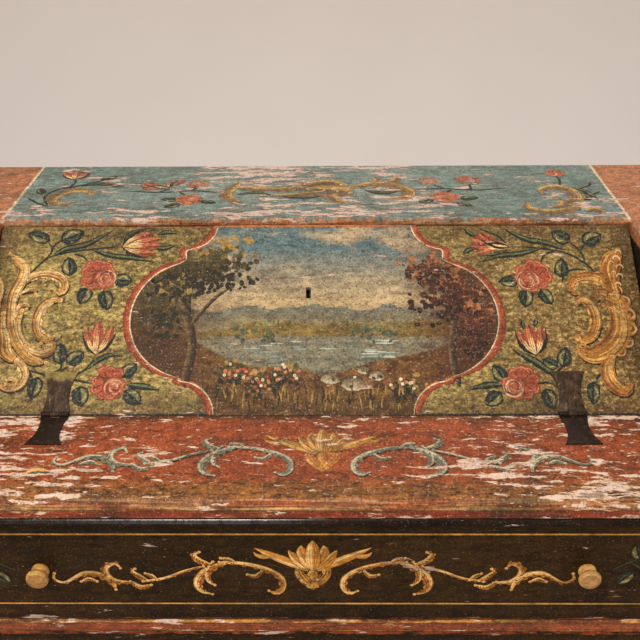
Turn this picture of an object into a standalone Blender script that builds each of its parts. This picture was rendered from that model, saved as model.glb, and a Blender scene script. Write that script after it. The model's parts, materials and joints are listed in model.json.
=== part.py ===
"""Painted butler's chest: a chest of three long drawers that carries a low desk with a sloping lid.

The lid lies between two towers with a small drawer each. It turns down on two butterfly hinges
until it lies on the ledge in front of it, and a lock let into it shoots a bolt into the top board.
Metres, +Z up. The front faces -Y, and the origin is the middle of the footprint, on the floor.
"""

import math

import bmesh
import bpy

# Clearances
FIT = 0.0003
RUNNING_GAP = 0.0015

# Lid
LID_WIDTH = 0.900
LID_LENGTH = 0.287
LID_THICKNESS = 0.020
LID_ANGLE = math.radians(35.6)
LID_SIDE_GAP = 0.0015
LID_END_GAP = 0.0018
LID_CORNER_RADIUS = 0.008
LID_ROUND = 0.003

# Top board and the desk under it
TOP_DEPTH = 0.223
TOP_THICKNESS = 0.022
TOP_REVEAL = 0.008
TOP_OVERHANG = 0.010
TOP_ROUND = 0.004
REST_RAIL_LAP = 0.034
REST_RAIL_DEPTH = 0.030
NEST_DEPTH = 0.140
NEST_BOARD = 0.010
NEST_SHELF_HEIGHT = 0.074
NEST_COLUMNS = 4

# Towers beside the lid
TOWER_OPENING = 0.112
PARTITION_THICKNESS = 0.018
TOWER_BACK_GAP = 0.042
TRAY_WALL = 0.010
TRAY_DROP = 0.014

# Ledge, which is the top of the lower chest
LEDGE_DEPTH = 0.165
LEDGE_THICKNESS = 0.028
LEDGE_OVERHANG = 0.030
LEDGE_QUIRK = 0.001
LEDGE_OVOLO = 0.012
LEDGE_CHAMFER = 0.003
BEAD_RADIUS = 0.0075
BEAD_SETBACK = 0.001

# Lower chest
SIDE_THICKNESS = 0.022
BACK_THICKNESS = 0.015
BOTTOM_THICKNESS = 0.022
POST_WIDTH = 0.045
POST_DEPTH = 0.040
POST_ROUND = 0.006
RAIL_HEIGHT = 0.020
RAIL_DEPTH = 0.060
RUNNER_BEARING = 0.025
RUNNER_GUIDE = 0.020
TOP_DRAWER_HEIGHT = 0.180
MIDDLE_DRAWER_HEIGHT = 0.195
BOTTOM_DRAWER_HEIGHT = 0.210

# Drawers
FRONT_THICKNESS = 0.022
FRONT_SETBACK = 0.001
FRONT_ROUND = 0.003
WALL_THICKNESS = 0.014
WALL_DROP = 0.015
DRAWER_BACK_GAP = 0.012
DRAWER_PANEL = 0.009
DRAWER_PANEL_RISE = 0.008
GROOVE_DEPTH = 0.006
KNOB_INSET = 0.217
KNOB_RADIUS = 0.014
KNOB_LENGTH = 0.024
KNOB_NECK = 0.006
KNOB_FLANGE = 0.011
KNOB_FLANGE_THICKNESS = 0.004

# Base
FOOT_HEIGHT = 0.110
FOOT_WIDTH = 0.150
FOOT_TOE = 0.055
FOOT_THICKNESS = 0.026
FOOT_WING = 0.030
FOOT_CUSP = 0.014
APRON_THICKNESS = 0.018
APRON_DROP = 0.056
APRON_PENDANT = 0.170
APRON_SCALLOP = 0.010
BASE_OUT = 0.014
BASE_DROP = 0.001
BASE_FILLET = 0.008

# Butterfly hinges
HINGE_INSET = 0.114
KNUCKLE_RADIUS = 0.0035
PIN_RADIUS = 0.0018
LEAF_THICKNESS = 0.0016
LEAF_LENGTH = 0.060
LEAF_ROOT = 0.036
LEAF_WAIST = 0.029
LEAF_FLARE = 0.046
LEAF_WAIST_AT = 0.40
HINGE_GAP = 0.0008

# Lock, let into the inner face of the lid
KEYHOLE_X = -0.008
KEYHOLE_DROP = 0.106
KEYHOLE_RADIUS = 0.0032
KEYHOLE_SLOT_WIDTH = 0.0036
KEYHOLE_SLOT_LENGTH = 0.010
LOCK_WIDTH = 0.084
LOCK_LENGTH = 0.124
LOCK_DEPTH = 0.014
LOCK_KEY_POCKET = 0.006
BOLT_WIDTH = 0.024
BOLT_THICKNESS = 0.006
BOLT_LENGTH = 0.050
BOLT_INSET = 0.004
BOLT_THROW = 0.010
BOLT_PLAY = 0.0006

EDGE_ROUND = 0.0015
ROUND_STEPS = 4
CIRCLE_STEPS = 16

# Widths, from the middle out
OPENING_HALF = LID_WIDTH / 2 + LID_SIDE_GAP
TOWER_INNER = OPENING_HALF + PARTITION_THICKNESS
TOWER_OUTER = TOWER_INNER + TOWER_OPENING
CASE_HALF = TOWER_OUTER + SIDE_THICKNESS
SIDE_INNER = CASE_HALF - SIDE_THICKNESS
POST_INNER = CASE_HALF - POST_WIDTH
DRAWER_HALF = POST_INNER - RUNNING_GAP

# Places from front to back
COS, SIN = math.cos(LID_ANGLE), math.sin(LID_ANGLE)
LID_RUN = (LID_LENGTH + LID_END_GAP) * COS
DEPTH = LEDGE_DEPTH + LID_RUN + TOP_DEPTH
FRONT_Y = -DEPTH / 2
BACK_Y = DEPTH / 2
BACK_FACE_Y = BACK_Y - BACK_THICKNESS
CASE_FRONT_Y = FRONT_Y + LEDGE_OVERHANG
LID_FOOT_Y = FRONT_Y + LEDGE_DEPTH
TOP_EDGE_Y = LID_FOOT_Y + LID_RUN

# Heights, from the floor up
CASE_Z = FOOT_HEIGHT
FLOOR_Z = CASE_Z + BOTTOM_THICKNESS
LOWER_RAIL_Z = FLOOR_Z + BOTTOM_DRAWER_HEIGHT
MIDDLE_DRAWER_Z = LOWER_RAIL_Z + RAIL_HEIGHT
UPPER_RAIL_Z = MIDDLE_DRAWER_Z + MIDDLE_DRAWER_HEIGHT
TOP_DRAWER_Z = UPPER_RAIL_Z + RAIL_HEIGHT
TOP_RAIL_Z = TOP_DRAWER_Z + TOP_DRAWER_HEIGHT
LEDGE_UNDER_Z = TOP_RAIL_Z + RAIL_HEIGHT
LEDGE_Z = LEDGE_UNDER_Z + LEDGE_THICKNESS
LID_FOOT_Z = LEDGE_Z + FIT
TOP_Z = LID_FOOT_Z + (LID_LENGTH + LID_END_GAP) * SIN + TOP_REVEAL
TOP_UNDER_Z = TOP_Z - TOP_THICKNESS

# The lid's own frame has its origin on the hinge axis, Y up the slope and Z out of the painted face
PIVOT_STANDOFF = KNUCKLE_RADIUS + FIT
LID_FACE = -PIVOT_STANDOFF
LID_FOOT = -PIVOT_STANDOFF * math.tan(LID_ANGLE / 2)
LID_HEAD = LID_FOOT + LID_LENGTH
LID_INNER_FACE = LID_FACE - LID_THICKNESS
PIVOT_Y = LID_FOOT_Y + LID_FOOT
PIVOT_Z = LID_FOOT_Z + PIVOT_STANDOFF

# Paint and metal of the pieces: colour, roughness, metallic
FINISHES = {
    "salmon_paint": ((0.45, 0.13, 0.06), 0.6, 0.0),
    "olive_paint": ((0.23, 0.18, 0.06), 0.55, 0.0),
    "teal_paint": ((0.13, 0.19, 0.17), 0.6, 0.0),
    "dark_paint": ((0.03, 0.025, 0.015), 0.35, 0.0),
    "bare_wood": ((0.30, 0.19, 0.10), 0.75, 0.0),
    "gilded_wood": ((0.48, 0.30, 0.08), 0.45, 0.2),
    "black_iron": ((0.03, 0.026, 0.024), 0.5, 0.8),
}


def clear_scene():
    for obj in list(bpy.data.objects):
        bpy.data.objects.remove(obj)


def finish_material(finish):
    material = bpy.data.materials.get(finish)
    if material is None:
        colour, roughness, metallic = FINISHES[finish]
        material = bpy.data.materials.new(finish)
        material.use_nodes = True
        shader = material.node_tree.nodes["Principled BSDF"]
        shader.inputs["Base Color"].default_value = (*colour, 1.0)
        shader.inputs["Roughness"].default_value = roughness
        shader.inputs["Metallic"].default_value = metallic
    return material


def frame_empty(name, location, rotation=(0.0, 0.0, 0.0)):
    """An empty that carries the pieces of one moving or seated group."""
    empty = bpy.data.objects.new(name, None)
    bpy.context.scene.collection.objects.link(empty)
    empty.location = location
    empty.rotation_euler = rotation
    return empty


def add_piece(name, bm, finish, parent=None, location=(0.0, 0.0, 0.0), rotation=(0.0, 0.0, 0.0)):
    bmesh.ops.recalc_face_normals(bm, faces=bm.faces)
    mesh = bpy.data.meshes.new(name)
    bm.to_mesh(mesh)
    bm.free()
    mesh.materials.append(finish_material(finish))
    piece = bpy.data.objects.new(name, mesh)
    bpy.context.scene.collection.objects.link(piece)
    piece.parent = parent
    piece.location = location
    piece.rotation_euler = rotation
    return piece


def round_edges(piece, width=EDGE_ROUND, segments=1):
    """Eases the sharp edges of a piece."""
    bevel = piece.modifiers.new("eased_edges", "BEVEL")
    bevel.width = width
    bevel.segments = segments
    bevel.limit_method = "ANGLE"
    bevel.angle_limit = math.radians(40)
    return piece


def smooth_round(piece):
    piece.data.shade_smooth()
    piece.data.set_sharp_from_angle(angle=math.radians(40))
    return piece


def box_mesh(low, high):
    bm = bmesh.new()
    bmesh.ops.create_cube(bm, size=1.0)
    size = [b - a for a, b in zip(low, high)]
    middle = [(a + b) / 2 for a, b in zip(low, high)]
    bmesh.ops.scale(bm, vec=size, verts=bm.verts)
    bmesh.ops.translate(bm, vec=middle, verts=bm.verts)
    return bm


def prism_mesh(outline, axis, low, high):
    """Extrudes a closed outline along an axis; the outline holds the other two coordinates in order."""
    place = {
        "X": lambda u, v: (low, u, v),
        "Y": lambda u, v: (u, low, v),
        "Z": lambda u, v: (u, v, low),
    }[axis]
    along = {"X": (high - low, 0, 0), "Y": (0, high - low, 0), "Z": (0, 0, high - low)}[axis]
    bm = bmesh.new()
    face = bm.faces.new([bm.verts.new(place(u, v)) for u, v in outline])
    grown = bmesh.ops.extrude_face_region(bm, geom=[face])
    new_verts = [e for e in grown["geom"] if isinstance(e, bmesh.types.BMVert)]
    bmesh.ops.translate(bm, vec=along, verts=new_verts)
    return bm


def arc(middle, radii, start, end, steps=ROUND_STEPS):
    """Points on an elliptical arc, both ends included; angles in degrees."""
    points = []
    for i in range(steps + 1):
        angle = math.radians(start + (end - start) * i / steps)
        points.append((middle[0] + radii[0] * math.cos(angle), middle[1] + radii[1] * math.sin(angle)))
    return points


def board(name, low, high, finish, parent=None):
    """A plain sawn board between two corners of its parent's frame, with eased edges."""
    middle = [(a + b) / 2 for a, b in zip(low, high)]
    half = [(b - a) / 2 for a, b in zip(low, high)]
    piece = add_piece(name, box_mesh([-h for h in half], half), finish, parent, middle)
    return round_edges(piece)


def span(side, inner, outer):
    """The X range between two distances from the middle, on the left (-1) or the right (1)."""
    return (inner, outer) if side > 0 else (-outer, -inner)


def cutter(name, bm, parent=None, location=(0.0, 0.0, 0.0)):
    tool = add_piece(name, bm, "bare_wood", parent, location)
    tool.hide_render = True
    tool.display_type = "WIRE"
    return tool


def combine(piece, tool, operation):
    boolean = piece.modifiers.new(tool.name, "BOOLEAN")
    boolean.operation = operation
    boolean.object = tool
    return piece


def turned_mesh(profile):
    """Spins a profile of (radius, height) points, which starts and ends on the axis, about Z."""
    bm = bmesh.new()
    ring = [bm.verts.new((radius, 0, height)) for radius, height in profile]
    edges = [bm.edges.new(pair) for pair in zip(ring, ring[1:])]
    bmesh.ops.spin(
        bm, geom=ring + edges, cent=(0, 0, 0), axis=(0, 0, 1), angle=math.tau,
        steps=CIRCLE_STEPS, use_merge=True,
    )
    bmesh.ops.remove_doubles(bm, verts=bm.verts, dist=1e-6)
    return bm


def moulding_mesh(profile, half_width, front_y, back_y):
    """Sweeps a closed (out, height) profile round the two sides and the front, mitred at the corners."""
    corners = [
        (-half_width, back_y, -1, 0),
        (-half_width, front_y, -1, -1),
        (half_width, front_y, 1, -1),
        (half_width, back_y, 1, 0),
    ]
    bm = bmesh.new()
    loops = []
    for x, y, out_x, out_y in corners:
        loops.append([bm.verts.new((x + out_x * out, y + out_y * out, z)) for out, z in profile])
    for first, second in zip(loops, loops[1:]):
        for i in range(len(profile)):
            j = (i + 1) % len(profile)
            bm.faces.new((first[i], first[j], second[j], second[i]))
    bm.faces.new(loops[0])
    bm.faces.new(loops[-1])
    return bm


def ledge_profile():
    """The ledge's edge as (inset from the outermost line, height), from the underside to the top."""
    ovolo_z = LEDGE_Z - LEDGE_QUIRK - LEDGE_OVOLO
    points = [(LEDGE_CHAMFER, LEDGE_UNDER_Z), (0.0, LEDGE_UNDER_Z + LEDGE_CHAMFER)]
    points += arc((LEDGE_OVOLO, ovolo_z), (LEDGE_OVOLO, LEDGE_OVOLO), 180, 90)
    quirk_inset = LEDGE_OVOLO + LEDGE_QUIRK
    points += [(quirk_inset, LEDGE_Z - LEDGE_QUIRK), (quirk_inset, LEDGE_Z)]
    return points


def make_ledge():
    """The chest's top board, moulded on its front and sides, with a dark round-nosed bead under its overhang."""
    half = CASE_HALF + LEDGE_OVERHANG
    bm = bmesh.new()
    loops = []
    for inset, z in ledge_profile():
        x, front = half - inset, FRONT_Y + inset
        ring = [(-x, BACK_Y), (-x, front), (x, front), (x, BACK_Y)]
        loops.append([bm.verts.new((u, v, z)) for u, v in ring])
    for lower, upper in zip(loops, loops[1:]):
        for i in range(4):
            j = (i + 1) % 4
            bm.faces.new((lower[i], lower[j], upper[j], upper[i]))
    bm.faces.new(loops[0])
    bm.faces.new(loops[-1])
    add_piece("ledge_board", bm, "salmon_paint")

    bead_z = LEDGE_UNDER_Z - FIT - BEAD_RADIUS
    nose = LEDGE_OVERHANG - BEAD_SETBACK - BEAD_RADIUS
    profile = [(FIT, bead_z - BEAD_RADIUS)]
    profile += arc((nose, bead_z), (BEAD_RADIUS, BEAD_RADIUS), -90, 90, 6)
    profile += [(FIT, bead_z + BEAD_RADIUS)]
    bead = moulding_mesh(profile, CASE_HALF, CASE_FRONT_Y, BACK_Y)
    add_piece("ledge_bead", bead, "dark_paint")


def post_outline(side):
    """A corner post seen from above, rounded at its outer front corner."""
    inner, outer = POST_INNER, CASE_HALF
    front, back = CASE_FRONT_Y, CASE_FRONT_Y + POST_DEPTH
    points = [(inner, back), (inner, front)]
    points += arc((outer - POST_ROUND, front + POST_ROUND), (POST_ROUND, POST_ROUND), -90, 0)
    points.append((outer, back))
    return [(side * x, y) for x, y in points]


def make_lower_case():
    post_back = CASE_FRONT_Y + POST_DEPTH
    for side, word in ((-1, "left"), (1, "right")):
        x_low, x_high = span(side, SIDE_INNER, CASE_HALF)
        board(
            f"{word}_case_side",
            (x_low, post_back + FIT, CASE_Z),
            (x_high, BACK_FACE_Y - FIT, LEDGE_UNDER_Z - FIT),
            "salmon_paint",
        )
        post = prism_mesh(post_outline(side), "Z", CASE_Z, LEDGE_UNDER_Z - FIT)
        add_piece(f"{word}_corner_post", post, "salmon_paint")
    board(
        "case_back",
        (-CASE_HALF, BACK_FACE_Y, CASE_Z),
        (CASE_HALF, BACK_Y, LEDGE_UNDER_Z - FIT),
        "bare_wood",
    )

    inner, neck, back = SIDE_INNER - FIT, POST_INNER - FIT, BACK_FACE_Y - FIT
    shoulder = post_back + FIT
    outline = [
        (-neck, CASE_FRONT_Y), (neck, CASE_FRONT_Y), (neck, shoulder), (inner, shoulder),
        (inner, back), (-inner, back), (-inner, shoulder), (-neck, shoulder),
    ]
    add_piece("case_bottom", prism_mesh(outline, "Z", CASE_Z, FLOOR_Z), "bare_wood")

    for level, z in (("top", TOP_RAIL_Z), ("upper", UPPER_RAIL_Z), ("lower", LOWER_RAIL_Z)):
        board(
            f"{level}_drawer_rail",
            (-neck, CASE_FRONT_Y, z),
            (neck, CASE_FRONT_Y + RAIL_DEPTH, z + RAIL_HEIGHT - FIT),
            "salmon_paint",
        )


def make_runners():
    """Rebated runners behind the rails: the drawer slides on the low step, beside the guide."""
    bearing = DRAWER_HALF - RUNNER_BEARING
    for level, z in (("upper", UPPER_RAIL_Z), ("lower", LOWER_RAIL_Z)):
        top = z + RAIL_HEIGHT - FIT
        section = [
            (SIDE_INNER - FIT, z), (SIDE_INNER - FIT, top + RUNNER_GUIDE), (POST_INNER, top + RUNNER_GUIDE),
            (POST_INNER, top), (bearing, top), (bearing, z),
        ]
        for side, word in ((-1, "left"), (1, "right")):
            outline = [(side * x, h) for x, h in section]
            runner = prism_mesh(outline, "Y", CASE_FRONT_Y + RAIL_DEPTH + FIT, BACK_FACE_Y - FIT)
            add_piece(f"{level}_{word}_runner", runner, "bare_wood")


def bracket_outline():
    """A bracket foot as (distance from the corner, height), with an arched and cusped inner edge."""
    top = CASE_Z - FIT
    arch_end, arch_z = FOOT_WIDTH - FOOT_CUSP, top - FOOT_WING
    points = [(0.0, 0.0), (FOOT_TOE, 0.0)]
    points += arc((arch_end, 0.0), (arch_end - FOOT_TOE, arch_z), 180, 90, 6)[1:]
    points += [(arch_end, arch_z + FOOT_CUSP / 2), (FOOT_WIDTH, arch_z + FOOT_CUSP / 2)]
    points += [(FOOT_WIDTH, top), (0.0, top)]
    return points


def make_feet():
    """Four bracket feet, each a mitred pair of arched boards."""
    outline = bracket_outline()
    for front in (True, False):
        corner_y = CASE_FRONT_Y if front else BACK_Y
        inward = 1 if front else -1
        y_low, y_high = sorted((corner_y, corner_y + inward * FOOT_THICKNESS))
        for side, word in ((-1, "left"), (1, "right")):
            facing = [(side * (CASE_HALF - u), z) for u, z in outline]
            flank = [(corner_y + inward * u, z) for u, z in outline]
            x_low, x_high = span(side, CASE_HALF - FOOT_THICKNESS, CASE_HALF)
            name = f"{'front' if front else 'back'}_{word}_foot"
            foot = add_piece(name, prism_mesh(facing, "Y", y_low, y_high), "salmon_paint")
            wing = cutter(f"{name}_wing", prism_mesh(flank, "X", x_low, x_high))
            combine(foot, wing, "UNION")


def apron_drop(x, half):
    """How far the apron's lower edge hangs at a distance from the middle: a pendant, then two scallops."""
    wing = FOOT_WING - FOOT_CUSP / 2
    if abs(x) < APRON_PENDANT:
        return wing + (APRON_DROP - wing) * (1 + math.cos(math.pi * x / APRON_PENDANT)) / 2
    turn = (abs(x) - APRON_PENDANT) / (half - APRON_PENDANT)
    return wing + APRON_SCALLOP * abs(math.sin(math.tau * turn))


def make_base():
    half, steps = CASE_HALF - FOOT_WIDTH - FIT, 36
    top = CASE_Z - FIT
    outline = [(-half, top), (half, top)]
    for i in range(steps + 1):
        x = half - 2 * half * i / steps
        outline.append((x, top - apron_drop(x, half)))
    apron = prism_mesh(outline, "Y", CASE_FRONT_Y, CASE_FRONT_Y + APRON_THICKNESS)
    add_piece("front_apron", apron, "salmon_paint")

    high = FLOOR_Z - BASE_DROP
    round_z = CASE_Z + BASE_FILLET
    profile = [(FIT, CASE_Z), (BASE_OUT, CASE_Z)]
    profile += arc((FIT, round_z), (BASE_OUT - FIT, high - round_z), 0, 90)
    base = moulding_mesh(profile, CASE_HALF, CASE_FRONT_Y, BACK_Y)
    add_piece("base_moulding", base, "dark_paint")


def knob_profile():
    """A turned knob from its seat to its crown: flange, neck and flattened ball."""
    head_low = KNOB_FLANGE_THICKNESS + KNOB_NECK / 2
    middle, rise = (head_low + KNOB_LENGTH) / 2, (KNOB_LENGTH - head_low) / 2
    start = -math.degrees(math.acos(KNOB_NECK / KNOB_RADIUS))
    profile = [(0.0, 0.0), (KNOB_FLANGE, 0.0), (KNOB_FLANGE, KNOB_FLANGE_THICKNESS)]
    profile += [(KNOB_NECK, KNOB_FLANGE_THICKNESS)]
    profile += arc((0.0, middle), (KNOB_RADIUS, rise), start, 90, 7)[:-1]
    return profile + [(0.0, KNOB_LENGTH)]


def make_knob(name, parent, x, z):
    knob = add_piece(
        name, turned_mesh(knob_profile()), "gilded_wood", parent,
        (x, FRONT_SETBACK - FIT, z), (math.pi / 2, 0.0, 0.0),
    )
    return smooth_round(knob)


def make_drawer_front(name, half, height, parent):
    low = (-half, FRONT_SETBACK, RUNNING_GAP)
    high = (half, FRONT_SETBACK + FRONT_THICKNESS, height - RUNNING_GAP)
    front = add_piece(name, box_mesh(low, high), "olive_paint", parent)
    return round_edges(front, FRONT_ROUND, 2)


def make_long_drawer(word, z, height):
    """A long drawer: front, three dovetailed walls in one piece, a bottom in their groove, two knobs."""
    drawer = frame_empty(f"{word}_drawer", (0.0, CASE_FRONT_Y, z))
    make_drawer_front(f"{word}_drawer_front", DRAWER_HALF, height, drawer)

    near, far = FRONT_SETBACK + FRONT_THICKNESS + FIT, BACK_FACE_Y - CASE_FRONT_Y - DRAWER_BACK_GAP
    inner = DRAWER_HALF - WALL_THICKNESS
    outline = [
        (-DRAWER_HALF, near), (-inner, near), (-inner, far - WALL_THICKNESS), (inner, far - WALL_THICKNESS),
        (inner, near), (DRAWER_HALF, near), (DRAWER_HALF, far), (-DRAWER_HALF, far),
    ]
    around = prism_mesh(outline, "Z", FIT, height - WALL_DROP)
    walls = add_piece(f"{word}_drawer_walls", around, "bare_wood", drawer)

    edge = inner + GROOVE_DEPTH
    groove_back = far - WALL_THICKNESS + GROOVE_DEPTH
    low, high = DRAWER_PANEL_RISE, DRAWER_PANEL_RISE + DRAWER_PANEL
    groove = cutter(
        f"{word}_drawer_groove", box_mesh((-edge, near - FIT, low), (edge, groove_back, high)), drawer,
    )
    combine(walls, groove, "DIFFERENCE")
    add_piece(
        f"{word}_drawer_bottom",
        box_mesh((FIT - edge, near, low + FIT), (edge - FIT, groove_back - FIT, high - FIT)),
        "bare_wood",
        drawer,
    )
    for side, hand in ((-1, "left"), (1, "right")):
        make_knob(f"{word}_drawer_{hand}_knob", drawer, side * (DRAWER_HALF - KNOB_INSET), height / 2)


def make_upper_case():
    """Sides, partitions and back of the desk part, which stands on the ledge."""
    low_z, high_z = LEDGE_Z + FIT, TOP_UNDER_Z - FIT
    walls = (("upper_side", TOWER_OUTER, CASE_HALF), ("partition", OPENING_HALF, TOWER_INNER))
    for side, word in ((-1, "left"), (1, "right")):
        for part, inner, outer in walls:
            x_low, x_high = span(side, inner, outer)
            board(
                f"{word}_{part}",
                (x_low, LID_FOOT_Y, low_z),
                (x_high, BACK_FACE_Y - FIT, high_z),
                "olive_paint",
            )
    board("upper_back", (-CASE_HALF, BACK_FACE_Y, low_z), (CASE_HALF, BACK_Y, high_z), "bare_wood")


def lid_point(y, z):
    """A point of the lid's frame as world (y, z)."""
    return PIVOT_Y + y * COS - z * SIN, PIVOT_Z + y * SIN + z * COS


def make_top_board(pivot):
    """The top, cut back over the lid, undercut square to it and mortised for the bolt."""
    half, front = CASE_HALF + TOP_OVERHANG, LID_FOOT_Y - TOP_OVERHANG
    outline = [
        (-half, BACK_Y), (-half, front), (-OPENING_HALF, front), (-OPENING_HALF, TOP_EDGE_Y),
        (OPENING_HALF, TOP_EDGE_Y), (OPENING_HALF, front), (half, front), (half, BACK_Y),
    ]
    bm = prism_mesh(outline, "Z", TOP_UNDER_Z, TOP_Z)
    eased = [e for e in bm.edges if all(abs(v.co.z - TOP_Z) < FIT and v.co.y < BACK_Y - FIT for v in e.verts)]
    bmesh.ops.bevel(bm, geom=eased, offset=TOP_ROUND, segments=2, affect="EDGES", profile=0.5)
    top = add_piece("top_board", bm, "teal_paint")

    head = LID_HEAD + LID_END_GAP
    undercut = box_mesh(
        (-OPENING_HALF, head - 2 * LID_THICKNESS, LID_FACE - 2 * LID_THICKNESS),
        (OPENING_HALF, head, LID_FACE),
    )
    combine(top, cutter("lid_head_undercut", undercut, pivot), "DIFFERENCE")
    low, high = bolt_box(BOLT_PLAY)
    high = (high[0], high[1] + LID_END_GAP + BOLT_THROW + FIT, high[2])
    combine(top, cutter("strike_mortise", box_mesh(low, high), pivot), "DIFFERENCE")


def make_rest_rail():
    """A rail under the top's front edge, bevelled to carry the closed lid's inner face."""
    lap_y, lap_z = lid_point(LID_HEAD - REST_RAIL_LAP, LID_INNER_FACE - FIT)
    high_z = TOP_UNDER_Z - FIT
    high_y = lap_y + (high_z - lap_z) * COS / SIN
    back_y = high_y + REST_RAIL_DEPTH
    section = [(lap_y, lap_z), (high_y, high_z), (back_y, high_z), (back_y, lap_z)]
    rail = prism_mesh(section, "X", FIT - OPENING_HALF, OPENING_HALF - FIT)
    add_piece("lid_rest_rail", rail, "bare_wood")


def make_nest():
    """Pigeonholes at the back of the desk: a shelf crossed by upright dividers."""
    half, back = OPENING_HALF - FIT, BACK_FACE_Y - FIT
    front = back - NEST_DEPTH
    shelf_z = LEDGE_Z + NEST_SHELF_HEIGHT
    nest = add_piece(
        "pigeonhole_nest", box_mesh((-half, front, shelf_z), (half, back, shelf_z + NEST_BOARD)), "bare_wood",
    )
    for i in range(1, NEST_COLUMNS):
        x = -half + 2 * half * i / NEST_COLUMNS
        divider = box_mesh(
            (x - NEST_BOARD / 2, front, LEDGE_Z + FIT), (x + NEST_BOARD / 2, back, TOP_UNDER_Z - FIT),
        )
        combine(nest, cutter(f"nest_divider_{i}", divider), "UNION")


def make_tower_drawer(side, word):
    """A small deep drawer in the tower beside the lid: front, tray and one knob."""
    height = TOP_UNDER_Z - LEDGE_Z
    half = TOWER_OPENING / 2 - RUNNING_GAP
    middle = side * (TOWER_INNER + TOWER_OUTER) / 2
    drawer = frame_empty(f"{word}_tower_drawer", (middle, LID_FOOT_Y, LEDGE_Z))
    make_drawer_front(f"{word}_tower_drawer_front", half, height, drawer)

    near, far = FRONT_SETBACK + FRONT_THICKNESS + FIT, BACK_FACE_Y - LID_FOOT_Y - TOWER_BACK_GAP
    bm = box_mesh((-half, near, FIT), (half, far, height - TRAY_DROP))
    rim = [face for face in bm.faces if face.normal.z > 0.5]
    bmesh.ops.inset_individual(bm, faces=rim, thickness=TRAY_WALL)
    sunk = bmesh.ops.extrude_discrete_faces(bm, faces=rim)["faces"]
    verts = [v for face in sunk for v in face.verts]
    bmesh.ops.translate(bm, vec=(0, 0, TRAY_WALL - (height - TRAY_DROP - FIT)), verts=verts)
    add_piece(f"{word}_tower_drawer_tray", bm, "bare_wood", drawer)
    make_knob(f"{word}_tower_drawer_knob", drawer, 0.0, height / 2)


def lid_outline():
    """The lid seen square on, with its two upper corners rounded."""
    half, radius = LID_WIDTH / 2, LID_CORNER_RADIUS
    points = [(-half, LID_FOOT), (half, LID_FOOT)]
    points += arc((half - radius, LID_HEAD - radius), (radius, radius), 0, 90, 3)
    points += arc((radius - half, LID_HEAD - radius), (radius, radius), 90, 180, 3)
    return points


def keyhole_outline():
    """A round hole over a slot."""
    y, half = LID_HEAD - KEYHOLE_DROP, KEYHOLE_SLOT_WIDTH / 2
    start = -90 + math.degrees(math.asin(half / KEYHOLE_RADIUS))
    points = arc((KEYHOLE_X, y), (KEYHOLE_RADIUS, KEYHOLE_RADIUS), start, 180 - start, 9)
    foot = y - KEYHOLE_RADIUS - KEYHOLE_SLOT_LENGTH
    return points + [(KEYHOLE_X - half, foot), (KEYHOLE_X + half, foot)]


def bolt_box(play=0.0):
    """The bolt's corners in the lid's frame, drawn back, grown by some play."""
    z_high = LID_INNER_FACE + LOCK_DEPTH - BOLT_INSET / 2
    head = LID_HEAD - FIT
    low = (KEYHOLE_X - BOLT_WIDTH / 2 - play, head - BOLT_LENGTH - play, z_high - BOLT_THICKNESS - play)
    high = (KEYHOLE_X + BOLT_WIDTH / 2 + play, head + play, z_high + play)
    return low, high


def make_lid(pivot):
    """The lid: a board bevelled to stand on the ledge, rounded at its other edges, recessed for the lock."""
    bm = prism_mesh(lid_outline(), "Z", LID_INNER_FACE, LID_FACE)
    outer = [e for e in bm.edges if all(abs(v.co.z - LID_FACE) < FIT for v in e.verts)]
    eased = [e for e in outer if max(v.co.y for v in e.verts) > LID_FOOT + FIT]
    bmesh.ops.bevel(bm, geom=eased, offset=LID_ROUND, segments=2, affect="EDGES", profile=0.5)
    bmesh.ops.bisect_plane(
        bm, geom=list(bm.verts) + list(bm.edges) + list(bm.faces), dist=1e-7,
        plane_co=(0.0, LID_FOOT, LID_FACE), plane_no=(0.0, -SIN, -COS), clear_outer=True,
    )
    bmesh.ops.holes_fill(bm, edges=[e for e in bm.edges if e.is_boundary])
    lid = add_piece("lid_panel", bm, "olive_paint", pivot)

    floor = LID_INNER_FACE + LOCK_DEPTH
    recess = box_mesh(
        (KEYHOLE_X - LOCK_WIDTH / 2, LID_HEAD - LOCK_LENGTH, LID_INNER_FACE - LID_THICKNESS),
        (KEYHOLE_X + LOCK_WIDTH / 2, LID_HEAD + LOCK_LENGTH, floor),
    )
    combine(lid, cutter("lock_recess", recess, pivot), "DIFFERENCE")
    key_way = prism_mesh(keyhole_outline(), "Z", floor - LOCK_KEY_POCKET, LID_FACE + LID_THICKNESS)
    keyhole = cutter("keyhole", key_way, pivot)
    combine(lid, keyhole, "DIFFERENCE")

    case = add_piece(
        "lock_case",
        box_mesh(
            (KEYHOLE_X - LOCK_WIDTH / 2 + FIT, LID_HEAD - LOCK_LENGTH + FIT, LID_INNER_FACE),
            (KEYHOLE_X + LOCK_WIDTH / 2 - FIT, LID_HEAD - FIT, floor - FIT),
        ),
        "black_iron",
        pivot,
    )
    low, high = bolt_box(BOLT_PLAY / 2)
    channel = cutter("bolt_channel", box_mesh(low, (high[0], high[1] + BOLT_LENGTH, high[2])), pivot)
    combine(case, channel, "DIFFERENCE")
    combine(case, keyhole, "DIFFERENCE")
    add_piece("lock_bolt", box_mesh(*bolt_box()), "black_iron", pivot)


def leaf_half_width(along):
    """Half the leaf's width at a share of its length: root, waist, then a flared butterfly end."""
    if along < LEAF_WAIST_AT:
        ease = (1 - along / LEAF_WAIST_AT) ** 2
        return (LEAF_WAIST + (LEAF_ROOT - LEAF_WAIST) * ease) / 2
    ease = ((along - LEAF_WAIST_AT) / (1 - LEAF_WAIST_AT)) ** 2
    return (LEAF_WAIST + (LEAF_FLARE - LEAF_WAIST) * ease) / 2


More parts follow.
